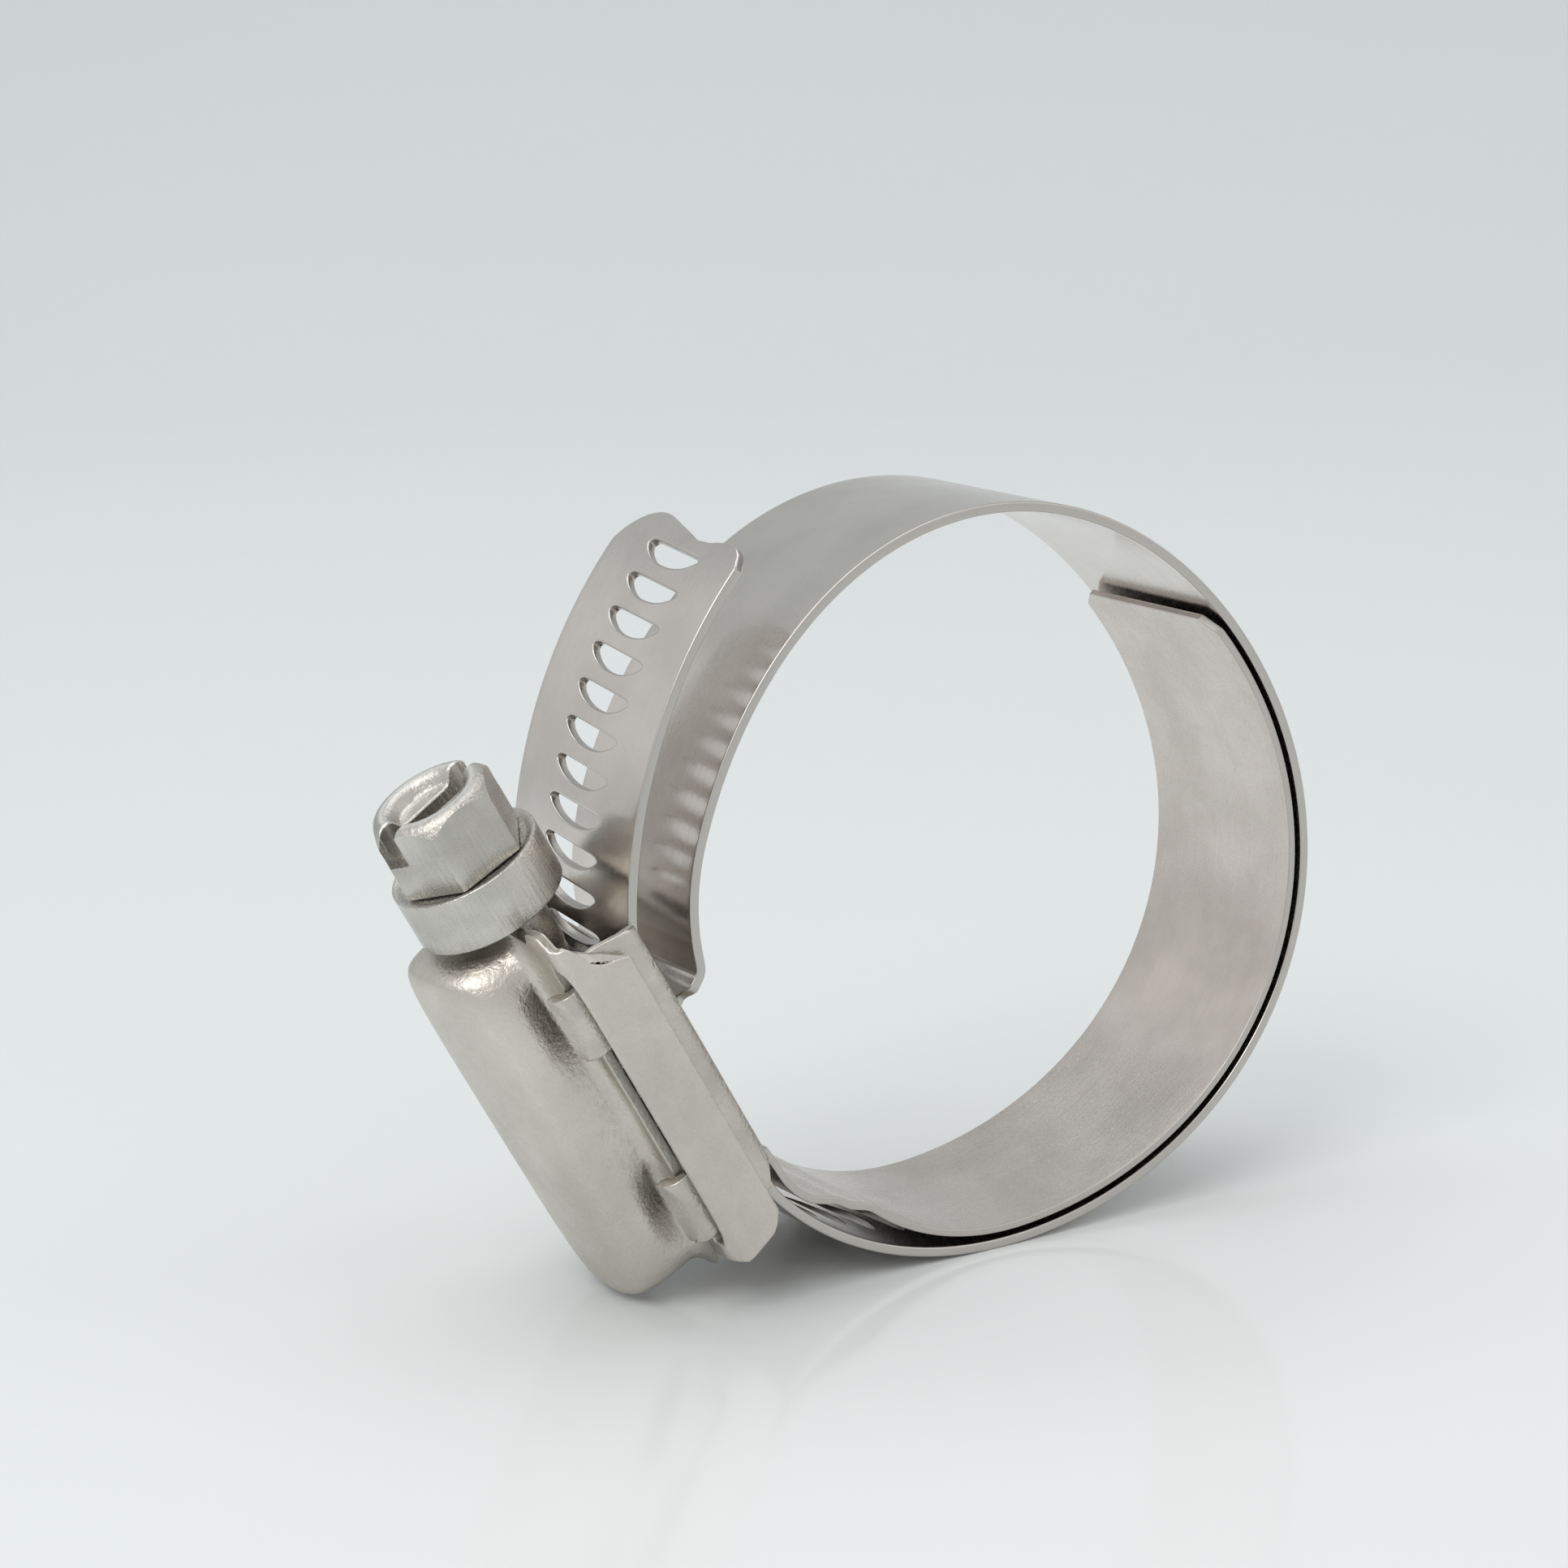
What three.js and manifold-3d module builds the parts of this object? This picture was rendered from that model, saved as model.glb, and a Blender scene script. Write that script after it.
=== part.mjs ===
// Worm-drive hose clamp: one slotted steel band, an inner liner strip, a saddle with four
// locking tabs, a deep-drawn housing and a captive hex-head worm screw.
// Millimetres, +Z up, the ring's axis along Y.
import * as THREE from 'three';
import { mergeVertices } from 'three/addons/utils/BufferGeometryUtils.js';
import Module from 'manifold-3d';

const wasm = await Module();
wasm.setup();

// ---- driving dimensions ----
const BAND_WIDTH = 15.8;
const BAND_T = 0.7;
const LINER_T = 0.55;
const LINER_WIDTH = 15.4;
const RING_R = 26.05; // mean radius of the ring at mid thickness
const LOBE = 0.6; // the sprung ring is slightly three-lobed
const LOBE_PHASE = 20; // degrees
const JOINT_GAP = 0.1; // gap left between two pieces of the same strip

const TILT = 29.3; // lean of the screw axis from upright, degrees
const CHANNEL_X = -25.9; // mid plane of the band inside the housing
const SCREW_X = -30.0;
const PITCH = 2.6;

const MOUTH_ANGLE = -137; // where the band enters the housing, round the ring
const MOUTH_Z = -6.31; // the same place, along the screw axis
const LEAD_ANGLE = -128.4; // start of the short piece that is drawn in first
const ANCHOR_ANGLE = 176; // where the fixed end of the band begins to flex
const BAND_PIECES = 8;
const LINER_PIECES = 4;
const LINER_START = -112;
const LINER_END = 43.5;
const LINER_GAP = 0.35;

const SPLIT_Z = -2.2; // break in the band inside the housing
const BEND_Z = 12.8; // where the tail leaves the channel
const BEND_R = 8;
const BEND_TURN = 30.9;
const TAIL_R = 34.85;
const TAIL_TURN = 43.9;
const SLOT_LENGTH = 6.6;
const SLOT_WIDTH = 1.35;
const SLOT_SLANT = 5.9;
const FIRST_SLOT = 40.7; // slot nearest the tip, measured along the band

const SHEET = 0.75; // housing and saddle sheet
const DOME_HALF_WIDTH = 6.3;
const DOME_TOP_X = -37.0;
const DOME_LOW_Z = -8.95;
const DOME_HIGH_Z = 19.3;
const FLANGE_X = -31.2; // outer face of the housing's flange
const WING_Y = 9.45; // outer face of the housing's side wings
const WALL_Y = 8.65; // outer face of the saddle's side walls
const BASE_X = -24.8; // hose side of the saddle

const HEX_AF = 8;
const HEAD_Z = 29.2;
const COLLAR_R = 5.25;
const COLLAR_LOW_Z = 20.1;
const COLLAR_HIGH_Z = 24.1;
const SHANK_R = 3.1;
const THREAD_R = 4.2;
const THREAD_LOW_Z = -3;
const THREAD_HIGH_Z = 14.4;

const rad = THREE.MathUtils.degToRad;

// ---- helpers ----
function weld(geometry) {
  const bare = geometry.index ? geometry.toNonIndexed() : geometry.clone();
  bare.deleteAttribute('normal');
  bare.deleteAttribute('uv');
  return mergeVertices(bare, 1e-4);
}

// Six times the enclosed volume: negative when the faces point inwards.
function signedVolume(position, index) {
  const [a, b, c] = [new THREE.Vector3(), new THREE.Vector3(), new THREE.Vector3()];
  let total = 0;
  for (let i = 0; i < index.count; i += 3) {
    a.fromBufferAttribute(position, index.getX(i));
    b.fromBufferAttribute(position, index.getX(i + 1));
    c.fromBufferAttribute(position, index.getX(i + 2));
    total += a.dot(b.cross(c));
  }
  return total;
}

function toSolid(geometry) {
  const welded = weld(geometry);
  const triVerts = new Uint32Array(welded.index.array);
  if (signedVolume(welded.attributes.position, welded.index) < 0) {
    triVerts.reverse();
  }
  const vertProperties = new Float32Array(welded.attributes.position.array);
  return new wasm.Manifold(new wasm.Mesh({ numProp: 3, vertProperties, triVerts }));
}

function toGeometry(solid) {
  const mesh = solid.getMesh();
  const geometry = new THREE.BufferGeometry();
  geometry.setAttribute('position', new THREE.BufferAttribute(mesh.vertProperties, 3));
  geometry.setIndex(new THREE.BufferAttribute(mesh.triVerts, 1));
  geometry.computeVertexNormals();
  return geometry;
}

function boxSolid(x0, x1, y0, y1, z0, z1) {
  const box = new THREE.BoxGeometry(x1 - x0, y1 - y0, z1 - z0);
  box.translate((x0 + x1) / 2, (y0 + y1) / 2, (z0 + z1) / 2);
  return toSolid(box);
}

function shapeFrom(points) {
  return new THREE.Shape(points.map(([a, b]) => new THREE.Vector2(a, b)));
}

// Outline given as (x, z), thickened along y.
function plateXZ(outline, y0, y1) {
  const depth = y1 - y0;
  const geometry = new THREE.ExtrudeGeometry(shapeFrom(outline), { depth, bevelEnabled: false });
  geometry.rotateX(Math.PI / 2);
  geometry.translate(0, y1, 0);
  return geometry;
}

// Outline given as (x, y), thickened along z.
function plateXY(outline, z0, z1) {
  const depth = z1 - z0;
  const geometry = new THREE.ExtrudeGeometry(shapeFrom(outline), { depth, bevelEnabled: false });
  geometry.translate(0, 0, z0);
  return geometry;
}

function cylinderSolid(radius, z0, z1, sides) {
  const geometry = new THREE.CylinderGeometry(radius, radius, z1 - z0, sides);
  geometry.rotateX(Math.PI / 2);
  geometry.translate(0, 0, (z0 + z1) / 2);
  return toSolid(geometry);
}

// ---- the ring's centre line ----
function bandRadius(angle) {
  const lobe = LOBE * Math.cos(3 * rad(angle + LOBE_PHASE));
  const tuck = Math.max(0, (angle - 165) / 20);
  return RING_R + lobe - 1.2 * tuck * tuck;
}

function linerRadius(angle) {
  const spread = Math.max(0, (-88 - angle) / 27);
  const inset = (BAND_T + LINER_T) / 2 + LINER_GAP + 1.2 * spread * spread;
  return bandRadius(angle) - inset;
}

function polar(radius, angle) {
  return [radius * Math.cos(rad(angle)), radius * Math.sin(rad(angle))];
}

function ringLine(radiusAt, from, to) {
  const steps = Math.max(3, Math.round(Math.abs(to - from) / 4));
  const points = [];
  for (let i = 0; i <= steps; i += 1) {
    const angle = from + ((to - from) * i) / steps;
    points.push(polar(radiusAt(angle), angle));
  }
  return points;
}

// Outline of a strip of even thickness along a centre line, both ends square to the line.
function stripOutline(line, thickness) {
  const left = [];
  const right = [];
  line.forEach(([x, z], i) => {
    const before = line[Math.max(0, i - 1)];
    const after = line[Math.min(line.length - 1, i + 1)];
    const dx = after[0] - before[0];
    const dz = after[1] - before[1];
    const scale = thickness / 2 / Math.hypot(dx, dz);
    left.push([x - dz * scale, z + dx * scale]);
    right.push([x + dz * scale, z - dx * scale]);
  });
  return left.concat(right.reverse());
}

function strip(line, thickness, width) {
  return plateXZ(stripOutline(line, thickness), -width / 2, width / 2);
}

// ---- band slots ----
// Half-moon outline: straight upper edge, curved lower edge, square lower corners rounded off.
function slotOutline() {
  const half = SLOT_LENGTH / 2;
  const points = [[-half, SLOT_WIDTH / 2], [half, SLOT_WIDTH / 2]];
  const steps = 5;
  for (let i = 0; i <= steps; i += 1) {
    const angle = (Math.PI * i) / steps;
    points.push([half * Math.cos(angle), SLOT_WIDTH * (0.1 - 0.6 * Math.sin(angle))]);
  }
  return points;
}

// A cutter whose local x is across the band, y along it and z through it.
function slotCutter(x, z, heading) {
  const depth = 4 * BAND_T;
  const cutter = new THREE.ExtrudeGeometry(shapeFrom(slotOutline()), { depth, bevelEnabled: false });
  cutter.translate(0, 0, -depth / 2);
  cutter.rotateZ(rad(SLOT_SLANT));
  const across = new THREE.Vector3(0, 1, 0);
  const along = new THREE.Vector3(Math.cos(heading), 0, Math.sin(heading));
  const through = new THREE.Vector3().crossVectors(across, along);
  const place = new THREE.Matrix4().makeBasis(across, along, through);
  place.setPosition(x, 0, z);
  cutter.applyMatrix4(place);
  return toSolid(cutter);
}

function cutAll(geometry, cutters) {
  let solid = toSolid(geometry);
  for (const cutter of cutters) {
    solid = solid.subtract(cutter);
  }
  return toGeometry(solid);
}

// ---- pieces of the band round the ring ----
function ringSlots(first, last) {
  const cutters = [];
  for (let i = first; i <= last; i += 1) {
    const beyondMouth = MOUTH_Z - (FIRST_SLOT - PITCH * i);
    const angle = MOUTH_ANGLE + (beyondMouth / bandRadius(MOUTH_ANGLE)) * THREE.MathUtils.RAD2DEG;
    const [x, z] = polar(bandRadius(angle), angle);
    cutters.push(slotCutter(x, z, rad(angle - 90)));
  }
  return cutters;
}

function bandPiece(from, to) {
  const trim = ((JOINT_GAP / 2) / RING_R) * THREE.MathUtils.RAD2DEG;
  return strip(ringLine(bandRadius, from - trim, to + trim), BAND_T, BAND_WIDTH);
}

function bandArc(index) {
  const span = (ANCHOR_ANGLE - LEAD_ANGLE) / BAND_PIECES;
  const from = ANCHOR_ANGLE - span * index;
  const body = bandPiece(from, from - span);
  return index < BAND_PIECES - 1 ? body : cutAll(body, ringSlots(20, 24));
}

function bandLead() {
  return cutAll(bandPiece(LEAD_ANGLE, MOUTH_ANGLE), ringSlots(19, 19));
}

// A point given in the fastener's leaning frame, as (x, z) in the ring's upright frame.
function fromFastener(x, z) {
  const point = new THREE.Vector3(x, 0, z).applyAxisAngle(new THREE.Vector3(0, 1, 0), -rad(TILT));
  return [point.x, point.z];
}

// Fixed end of the band: down the ring at full width, then a narrower tongue into the saddle.
function bandAnchor() {
  const knee = fromFastener(-23.5, 9.95);
  const line = ringLine(bandRadius, ANCHOR_ANGLE + 0.11, 184.4).concat([knee]);
  const wide = toSolid(strip(line.concat([fromFastener(-24.2, 9.55)]), BAND_T, BAND_WIDTH));
  const tongue = [knee, fromFastener(-25.3, 8.93)];
  return toGeometry(wide.add(toSolid(strip(tongue, BAND_T, BAND_WIDTH - 2))));
}

function bandRunIn() {
  const start = MOUTH_Z + JOINT_GAP / 2;
  const end = SPLIT_Z - JOINT_GAP;
  const body = strip([[CHANNEL_X, start], [CHANNEL_X, end]], BAND_T, BAND_WIDTH);
  return cutAll(body, [slotCutter(CHANNEL_X, FIRST_SLOT - 17 * PITCH, Math.PI / 2)]);
}

// Position and heading on the tongue and tail, by distance along the band.
function tailPoint(distance) {
  if (distance <= BEND_Z) {
    return { x: CHANNEL_X, z: distance, heading: Math.PI / 2 };
  }
  const bendLength = BEND_R * rad(BEND_TURN);
  const inBend = Math.min(distance - BEND_Z, bendLength);
  const turn = inBend / BEND_R;
  let x = CHANNEL_X + BEND_R * (1 - Math.cos(turn));
  let z = BEND_Z + BEND_R * Math.sin(turn);
  let heading = Math.PI / 2 - turn;
  const rest = distance - BEND_Z - bendLength;
  if (rest > 0) {
    const more = rest / TAIL_R;
    x += TAIL_R * (Math.cos(turn) - Math.cos(turn + more));
    z += TAIL_R * (Math.sin(turn + more) - Math.sin(turn));
    heading -= more;
  }
  return { x, z, heading };
}

function tailLength() {
  return BEND_Z + BEND_R * rad(BEND_TURN) + TAIL_R * rad(TAIL_TURN);
}

// The tip is a lopsided fishtail: a small lobe on -Y, a shallow hollow and a tall lobe on +Y.
// Each point is [across the band, below the very tip], joined by a smooth curve.
function tipOutline() {
  const points = [
    [-7.9, -2.9], [-7.4, -1.8], [-5.3, -1.2], [-3.0, -1.6], [-0.6, -1.25],
    [1.8, -0.5], [4.0, 0], [5.8, -0.5], [7.3, -1.7], [7.9, -2.9],
  ];
  const curve = new THREE.SplineCurve(points.map(([y, z]) => new THREE.Vector2(y, z)));
  return curve.getPoints(24).map((point) => [point.x, point.y]);
}

function tipCutter() {
  const top = 6;
  const outline = [[-12, top], [-12, -2.9], ...tipOutline(), [12, -2.9], [12, top]];
  const tip = tailPoint(tailLength());
  const depth = 8;
  const cutter = new THREE.ExtrudeGeometry(shapeFrom(outline), { depth, bevelEnabled: false });
  cutter.translate(0, 0, -depth / 2);
  const across = new THREE.Vector3(0, 1, 0);
  const along = new THREE.Vector3(Math.cos(tip.heading), 0, Math.sin(tip.heading));
  const through = new THREE.Vector3().crossVectors(across, along);
  const place = new THREE.Matrix4().makeBasis(across, along, through);
  place.setPosition(tip.x, 0, tip.z);
  cutter.applyMatrix4(place);
  return toSolid(cutter);
}

function bandTail() {
  const stops = [SPLIT_Z + JOINT_GAP, BEND_Z];
  for (let d = BEND_Z + 1; d < tailLength(); d += d < BEND_Z + 4 ? 1 : 2.4) {
    stops.push(d);
  }
  stops.push(tailLength());
  const line = stops.map((d) => {
    const point = tailPoint(d);
    return [point.x, point.z];
  });
  const cutters = [tipCutter()];
  for (let i = 0; i < 17; i += 1) {
    const point = tailPoint(FIRST_SLOT - i * PITCH);
    cutters.push(slotCutter(point.x, point.z, point.heading));
  }
  return cutAll(strip(line, BAND_T, BAND_WIDTH), cutters);
}

// ---- pieces of the liner ----
function linerArc(index) {
  const span = (LINER_END - LINER_START) / LINER_PIECES;
  const trim = ((JOINT_GAP / 2) / RING_R) * THREE.MathUtils.RAD2DEG;
  const from = LINER_START + span * index + trim;
  const to = LINER_START + span * (index + 1) - trim;
  return strip(ringLine(linerRadius, from, to), LINER_T, LINER_WIDTH);
}

// Fixed root of the liner, butted to the end of the saddle.
function linerRoot() {
  return strip([[-20.1, -14.95], [-18.97, -16.64]], LINER_T, LINER_WIDTH);
}

// The joggle: a dip and a small hump that bring the liner up to the inside of the ring.
function linerJoggle() {
  const line = [
    [-18.9, -16.75], [-18.3, -17.7], [-17.4, -18.6], [-16.3, -19.3],
    [-15.2, -19.6], [-14.2, -19.75], [-13.3, -20.35],
  ];
  const arc = ringLine(linerRadius, LINER_START - 7, LINER_START - 0.12);
  return strip(line.concat(arc), LINER_T, LINER_WIDTH);
}

// ---- housing ----
// A long dome with an arched section and rounded ends, standing on the plane x = footX.
function domeSolid(halfWidth, topX, lowZ, highZ, footX, round) {
  const rows = [];
  const steps = 4;
  for (let i = 0; i <= steps; i += 1) {
    const angle = (Math.PI / 2) * (i / steps);
    rows.push([lowZ + round * (1 - Math.sin(angle)), round * (1 - Math.cos(angle))]);
  }
  const low = rows.reverse();
  const high = low.map(([z, inset]) => [lowZ + highZ - z, inset]).reverse();
  const stations = low.concat(high);
  const arch = 14;
  const positions = [];
  const indices = [];
  const columns = arch + 1;
  for (const [z, inset] of stations) {
    const width = halfWidth - inset;
    const height = footX - topX - inset;
    for (let j = 0; j < columns; j += 1) {
      const angle = (Math.PI * j) / arch;
      const c = Math.cos(angle);
      const s = Math.sin(angle);
      const y = width * Math.sign(c) * Math.abs(c) ** 0.62;
      const x = footX - height * Math.abs(s) ** 0.62;
      positions.push(x, y, z);
    }
  }
  for (let i = 0; i < stations.length - 1; i += 1) {
    for (let j = 0; j < columns; j += 1) {
      const a = i * columns + j;
      const b = i * columns + ((j + 1) % columns);
      const c = a + columns;
      const d = b + columns;
      indices.push(a, c, b, b, c, d);
    }
  }
  const last = (stations.length - 1) * columns;
  for (let j = 1; j < columns - 1; j += 1) {
    indices.push(0, j, j + 1);
    indices.push(last, last + j + 1, last + j);
  }
  const geometry = new THREE.BufferGeometry();
  geometry.setAttribute('position', new THREE.Float32BufferAttribute(positions, 3));
  geometry.setIndex(indices);
  return toSolid(geometry);
}

function wingOutline() {
  return [
    [-26.3, 15.2], [-26.8, -6.6], [-27.2, -7.6], [-30.2, -8.3], [-31.2, -7.6],
    [-31.2, 18.6], [-30.6, 19.0], [-29.8, 18.2], [-29.0, 17.0], [-28.2, 16.3], [-26.8, 15.9],
  ];
}

function housing() {
  const foot = FLANGE_X + SHEET;
  let body = domeSolid(DOME_HALF_WIDTH, DOME_TOP_X, DOME_LOW_Z, DOME_HIGH_Z, foot, 2.6);
  body = body.add(boxSolid(FLANGE_X, foot, -WING_Y, WING_Y, -7.6, 18.6));
  for (const side of [-1, 1]) {
    const y0 = side < 0 ? -WING_Y : WING_Y - 0.7;
    body = body.add(toSolid(plateXZ(wingOutline(), y0, y0 + 0.7)));
  }
  const hollow = domeSolid(
    DOME_HALF_WIDTH - SHEET, DOME_TOP_X + SHEET, DOME_LOW_Z + SHEET, DOME_HIGH_Z - SHEET,
    foot + 1, 1.9,
  );
  body = body.subtract(hollow);
  for (const side of [-1, 1]) {
    const near = side < 0 ? -(WING_Y - 0.7) - 0.001 : 7.55;
    const far = side < 0 ? -7.55 : WING_Y - 0.7 + 0.001;
    body = body.subtract(boxSolid(FLANGE_X - 0.5, foot + 0.2, near, far, -6.2, 16.5));
  }
  const bore = cylinderSolid(SHANK_R + 0.35, DOME_HIGH_Z - 2, DOME_HIGH_Z + 2, 24);
  body = body.subtract(bore.translate([SCREW_X, 0, 0]));
  return toGeometry(body);
}

// ---- saddle ----
// Profile of one locking tab in (x, y): out of the side wall, through the window, over the flange.
function tabOutline() {
  const inner = WALL_Y - 0.6;
  return [
    [-29.4, inner], [-29.4, WALL_Y], [-31.2, WALL_Y], [-31.9, 8.45], [-32.4, 7.9],
    [-32.55, 7.2], [-32.35, 6.75], [-31.6, 6.95], [-31.55, 7.3], [-31.35, 7.7], [-30.9, inner],
  ];
}

function saddle() {
  const inner = WALL_Y - 0.6;
  const floor = BASE_X - 0.65;
  let body = boxSolid(floor, BASE_X, -WALL_Y, WALL_Y, -3, 12.2);
  const wall = [
    [BASE_X, -5], [BASE_X - 0.1, 16], [-25.4, 16.6], [-29.8, 16.2], [-29.8, -5.6], [-25.6, -5.6],
  ];
  for (const side of [-1, 1]) {
    const y0 = side < 0 ? -WALL_Y : inner;
    body = body.add(toSolid(plateXZ(wall, y0, y0 + 0.6)));
    for (const [low, high] of [[-5.3, -0.2], [10.8, 15.8]]) {
      const outline = tabOutline().map(([x, y]) => [x, side * y]);
      body = body.add(toSolid(plateXY(side < 0 ? outline.reverse() : outline, low, high)));
    }
  }
  body = body.subtract(boxSolid(floor - 1, BASE_X + 1, -7.2, 7.2, 8.45, 10.1));
  return toGeometry(body);
}

// ---- worm screw ----
function hexHead() {
  const radius = HEX_AF / Math.sqrt(3);
  const prism = new THREE.CylinderGeometry(radius, radius, HEAD_Z - COLLAR_HIGH_Z + 0.5, 6);
  prism.rotateX(Math.PI / 2);
  prism.rotateZ(Math.PI / 2);
  prism.translate(0, 0, (HEAD_Z + COLLAR_HIGH_Z - 0.5) / 2);
  const cap = new THREE.LatheGeometry([
    new THREE.Vector2(0, COLLAR_HIGH_Z - 1),
    new THREE.Vector2(3.85, COLLAR_HIGH_Z - 1),
    new THREE.Vector2(3.85, COLLAR_HIGH_Z + 0.05),
    new THREE.Vector2(5.2, COLLAR_HIGH_Z + 0.4),
    new THREE.Vector2(5.2, HEAD_Z - 1.6),
    new THREE.Vector2(4.5, HEAD_Z - 1.0),
    new THREE.Vector2(4.0, HEAD_Z - 0.3),
    new THREE.Vector2(3.7, HEAD_Z),
    new THREE.Vector2(0, HEAD_Z),
  ], 24);
  cap.rotateX(Math.PI / 2);
  return toSolid(prism).intersect(toSolid(cap));
}

function lathed(profile, segments) {
  const points = profile.map(([r, z]) => new THREE.Vector2(r, z));
  const geometry = new THREE.LatheGeometry(points, segments);
  geometry.rotateX(Math.PI / 2);
  return toSolid(geometry);
}

// Helical ridge, right hand, tapering to nothing at both ends.
function threadSolid() {
  const perTurn = 12;
  const turns = (THREAD_HIGH_Z - THREAD_LOW_Z) / PITCH;
  const steps = Math.round(turns * perTurn);
  const phase = FIRST_SLOT / PITCH;
  const positions = [];
  const indices = [];
  for (let i = 0; i <= steps; i += 1) {
    const z = THREAD_LOW_Z + ((THREAD_HIGH_Z - THREAD_LOW_Z) * i) / steps;
    const angle = 2 * Math.PI * (z / PITCH - phase);
    const fade = Math.min(1, i / perTurn, (steps - i) / perTurn);
    const tip = SHANK_R - 0.2 + (THREAD_R - SHANK_R + 0.2) * (0.12 + 0.88 * fade);
    const root = SHANK_R - 0.6;
    const profile = [[root, -0.85], [tip, -0.28], [tip, 0.28], [root, 0.85]];
    for (const [r, dz] of profile) {
      positions.push(r * Math.cos(angle), r * Math.sin(angle), z + dz);
    }
  }
  for (let i = 0; i < steps; i += 1) {
    for (let j = 0; j < 4; j += 1) {
      const a = i * 4 + j;
      const b = i * 4 + ((j + 1) % 4);
      indices.push(a, a + 4, b, b, a + 4, b + 4);
    }
  }
  const last = steps * 4;
  indices.push(0, 1, 2, 0, 2, 3, last, last + 2, last + 1, last, last + 3, last + 2);
  const geometry = new THREE.BufferGeometry();
  geometry.setAttribute('position', new THREE.Float32BufferAttribute(positions, 3));
  geometry.setIndex(indices);
  return toSolid(geometry);
}

function screw() {
  const profile = [
    [0, -8.2], [1.6, -8.2], [2.0, -7.8], [2.0, -6.4], [SHANK_R - 0.1, -5.8], [SHANK_R - 0.1, 15.4],
    [SHANK_R, 15.6], [SHANK_R, COLLAR_LOW_Z], [COLLAR_R - 0.3, COLLAR_LOW_Z],
    [COLLAR_R, COLLAR_LOW_Z + 0.3], [COLLAR_R, COLLAR_HIGH_Z], [COLLAR_R - 0.35, COLLAR_HIGH_Z],
    [COLLAR_R - 1.0, COLLAR_HIGH_Z - 0.2], [0, COLLAR_HIGH_Z - 0.2],
  ];
  let body = lathed(profile, 24).add(threadSolid()).add(hexHead());
  const dish = lathed([[0, HEAD_Z - 1], [2.2, HEAD_Z - 0.9], [2.9, HEAD_Z + 0.4], [0, HEAD_Z + 0.4]], 20);
  const slot = boxSolid(-6, 6, -0.8, 0.8, HEAD_Z - 2.6, HEAD_Z + 1).rotate([0, 0, 9]);
  body = body.subtract(dish).subtract(slot);
  return toGeometry(body.translate([SCREW_X, 0, 0]));
}

// ---- assembly ----
function steel(color, roughness) {
  return new THREE.MeshStandardMaterial({ color, roughness, metalness: 1 });
}

function addMesh(group, name, geometry, material) {
  const mesh = new THREE.Mesh(geometry, material);
  mesh.name = name;
  group.add(mesh);
  return mesh;
}

function build() {
  const clamp = new THREE.Group();
  clamp.name = 'hose_clamp';
  const ring = new THREE.Group();
  ring.name = 'ring';
  const fastener = new THREE.Group();
  fastener.name = 'fastener';
  fastener.rotation.y = -rad(TILT);
  clamp.add(ring, fastener);

  addMesh(fastener, 'housing', housing(), steel(0xb9b6ae, 0.42));
  addMesh(fastener, 'saddle', saddle(), steel(0xaaa69c, 0.5));
  addMesh(fastener, 'worm_screw', screw(), steel(0xb4b3ad, 0.34));
  addMesh(fastener, 'band_tail', bandTail(), steel(0xc6c1bb, 0.22));
  addMesh(fastener, 'band_run_in', bandRunIn(), steel(0xc6c1bb, 0.22));
  addMesh(ring, 'band_anchor', bandAnchor(), steel(0xc6c1bb, 0.22));
  for (let i = 0; i < BAND_PIECES; i += 1) {
    addMesh(ring, `band_arc_${i + 1}`, bandArc(i), steel(0xc6c1bb, 0.22));
  }
  addMesh(ring, 'band_lead', bandLead(), steel(0xc6c1bb, 0.22));
  addMesh(ring, 'liner_root', linerRoot(), steel(0xbdb7ae, 0.3));
  addMesh(ring, 'liner_joggle', linerJoggle(), steel(0xbdb7ae, 0.3));
  for (let i = 0; i < LINER_PIECES; i += 1) {
    addMesh(ring, `liner_arc_${i + 1}`, linerArc(i), steel(0xbdb7ae, 0.3));
  }

  const bounds = new THREE.Box3().setFromObject(clamp, true);
  const centre = bounds.getCenter(new THREE.Vector3());
  for (const child of clamp.children) {
    child.position.set(-centre.x, 0, -bounds.min.z);
  }
  return clamp;
}

export default build();
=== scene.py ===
import bpy
import math
import numpy as np
from mathutils import Matrix


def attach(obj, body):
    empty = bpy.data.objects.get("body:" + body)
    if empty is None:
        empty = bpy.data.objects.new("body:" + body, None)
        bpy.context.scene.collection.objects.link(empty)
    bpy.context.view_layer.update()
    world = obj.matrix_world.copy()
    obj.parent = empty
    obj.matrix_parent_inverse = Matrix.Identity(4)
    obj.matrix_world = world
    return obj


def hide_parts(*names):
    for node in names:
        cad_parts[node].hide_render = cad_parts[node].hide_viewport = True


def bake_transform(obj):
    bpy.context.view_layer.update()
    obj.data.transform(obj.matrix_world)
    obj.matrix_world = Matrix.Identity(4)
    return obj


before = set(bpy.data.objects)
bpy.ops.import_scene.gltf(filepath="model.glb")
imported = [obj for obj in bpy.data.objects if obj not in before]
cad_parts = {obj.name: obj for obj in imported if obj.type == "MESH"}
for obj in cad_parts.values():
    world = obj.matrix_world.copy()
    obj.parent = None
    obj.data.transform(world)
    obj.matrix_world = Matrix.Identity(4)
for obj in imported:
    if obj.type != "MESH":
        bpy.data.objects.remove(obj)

# Worm-drive hose clamp. Lengths are in millimetres until a mesh is made.
# Ring frame: x and z from the centre of the ring, y along the hose.
# Fastener frame: n towards the hose, y along the hose, a along the screw towards its head.
MM = 0.001
RING_CENTRE = (8.591, 25.887)
TILT = math.radians(29.3)

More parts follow.
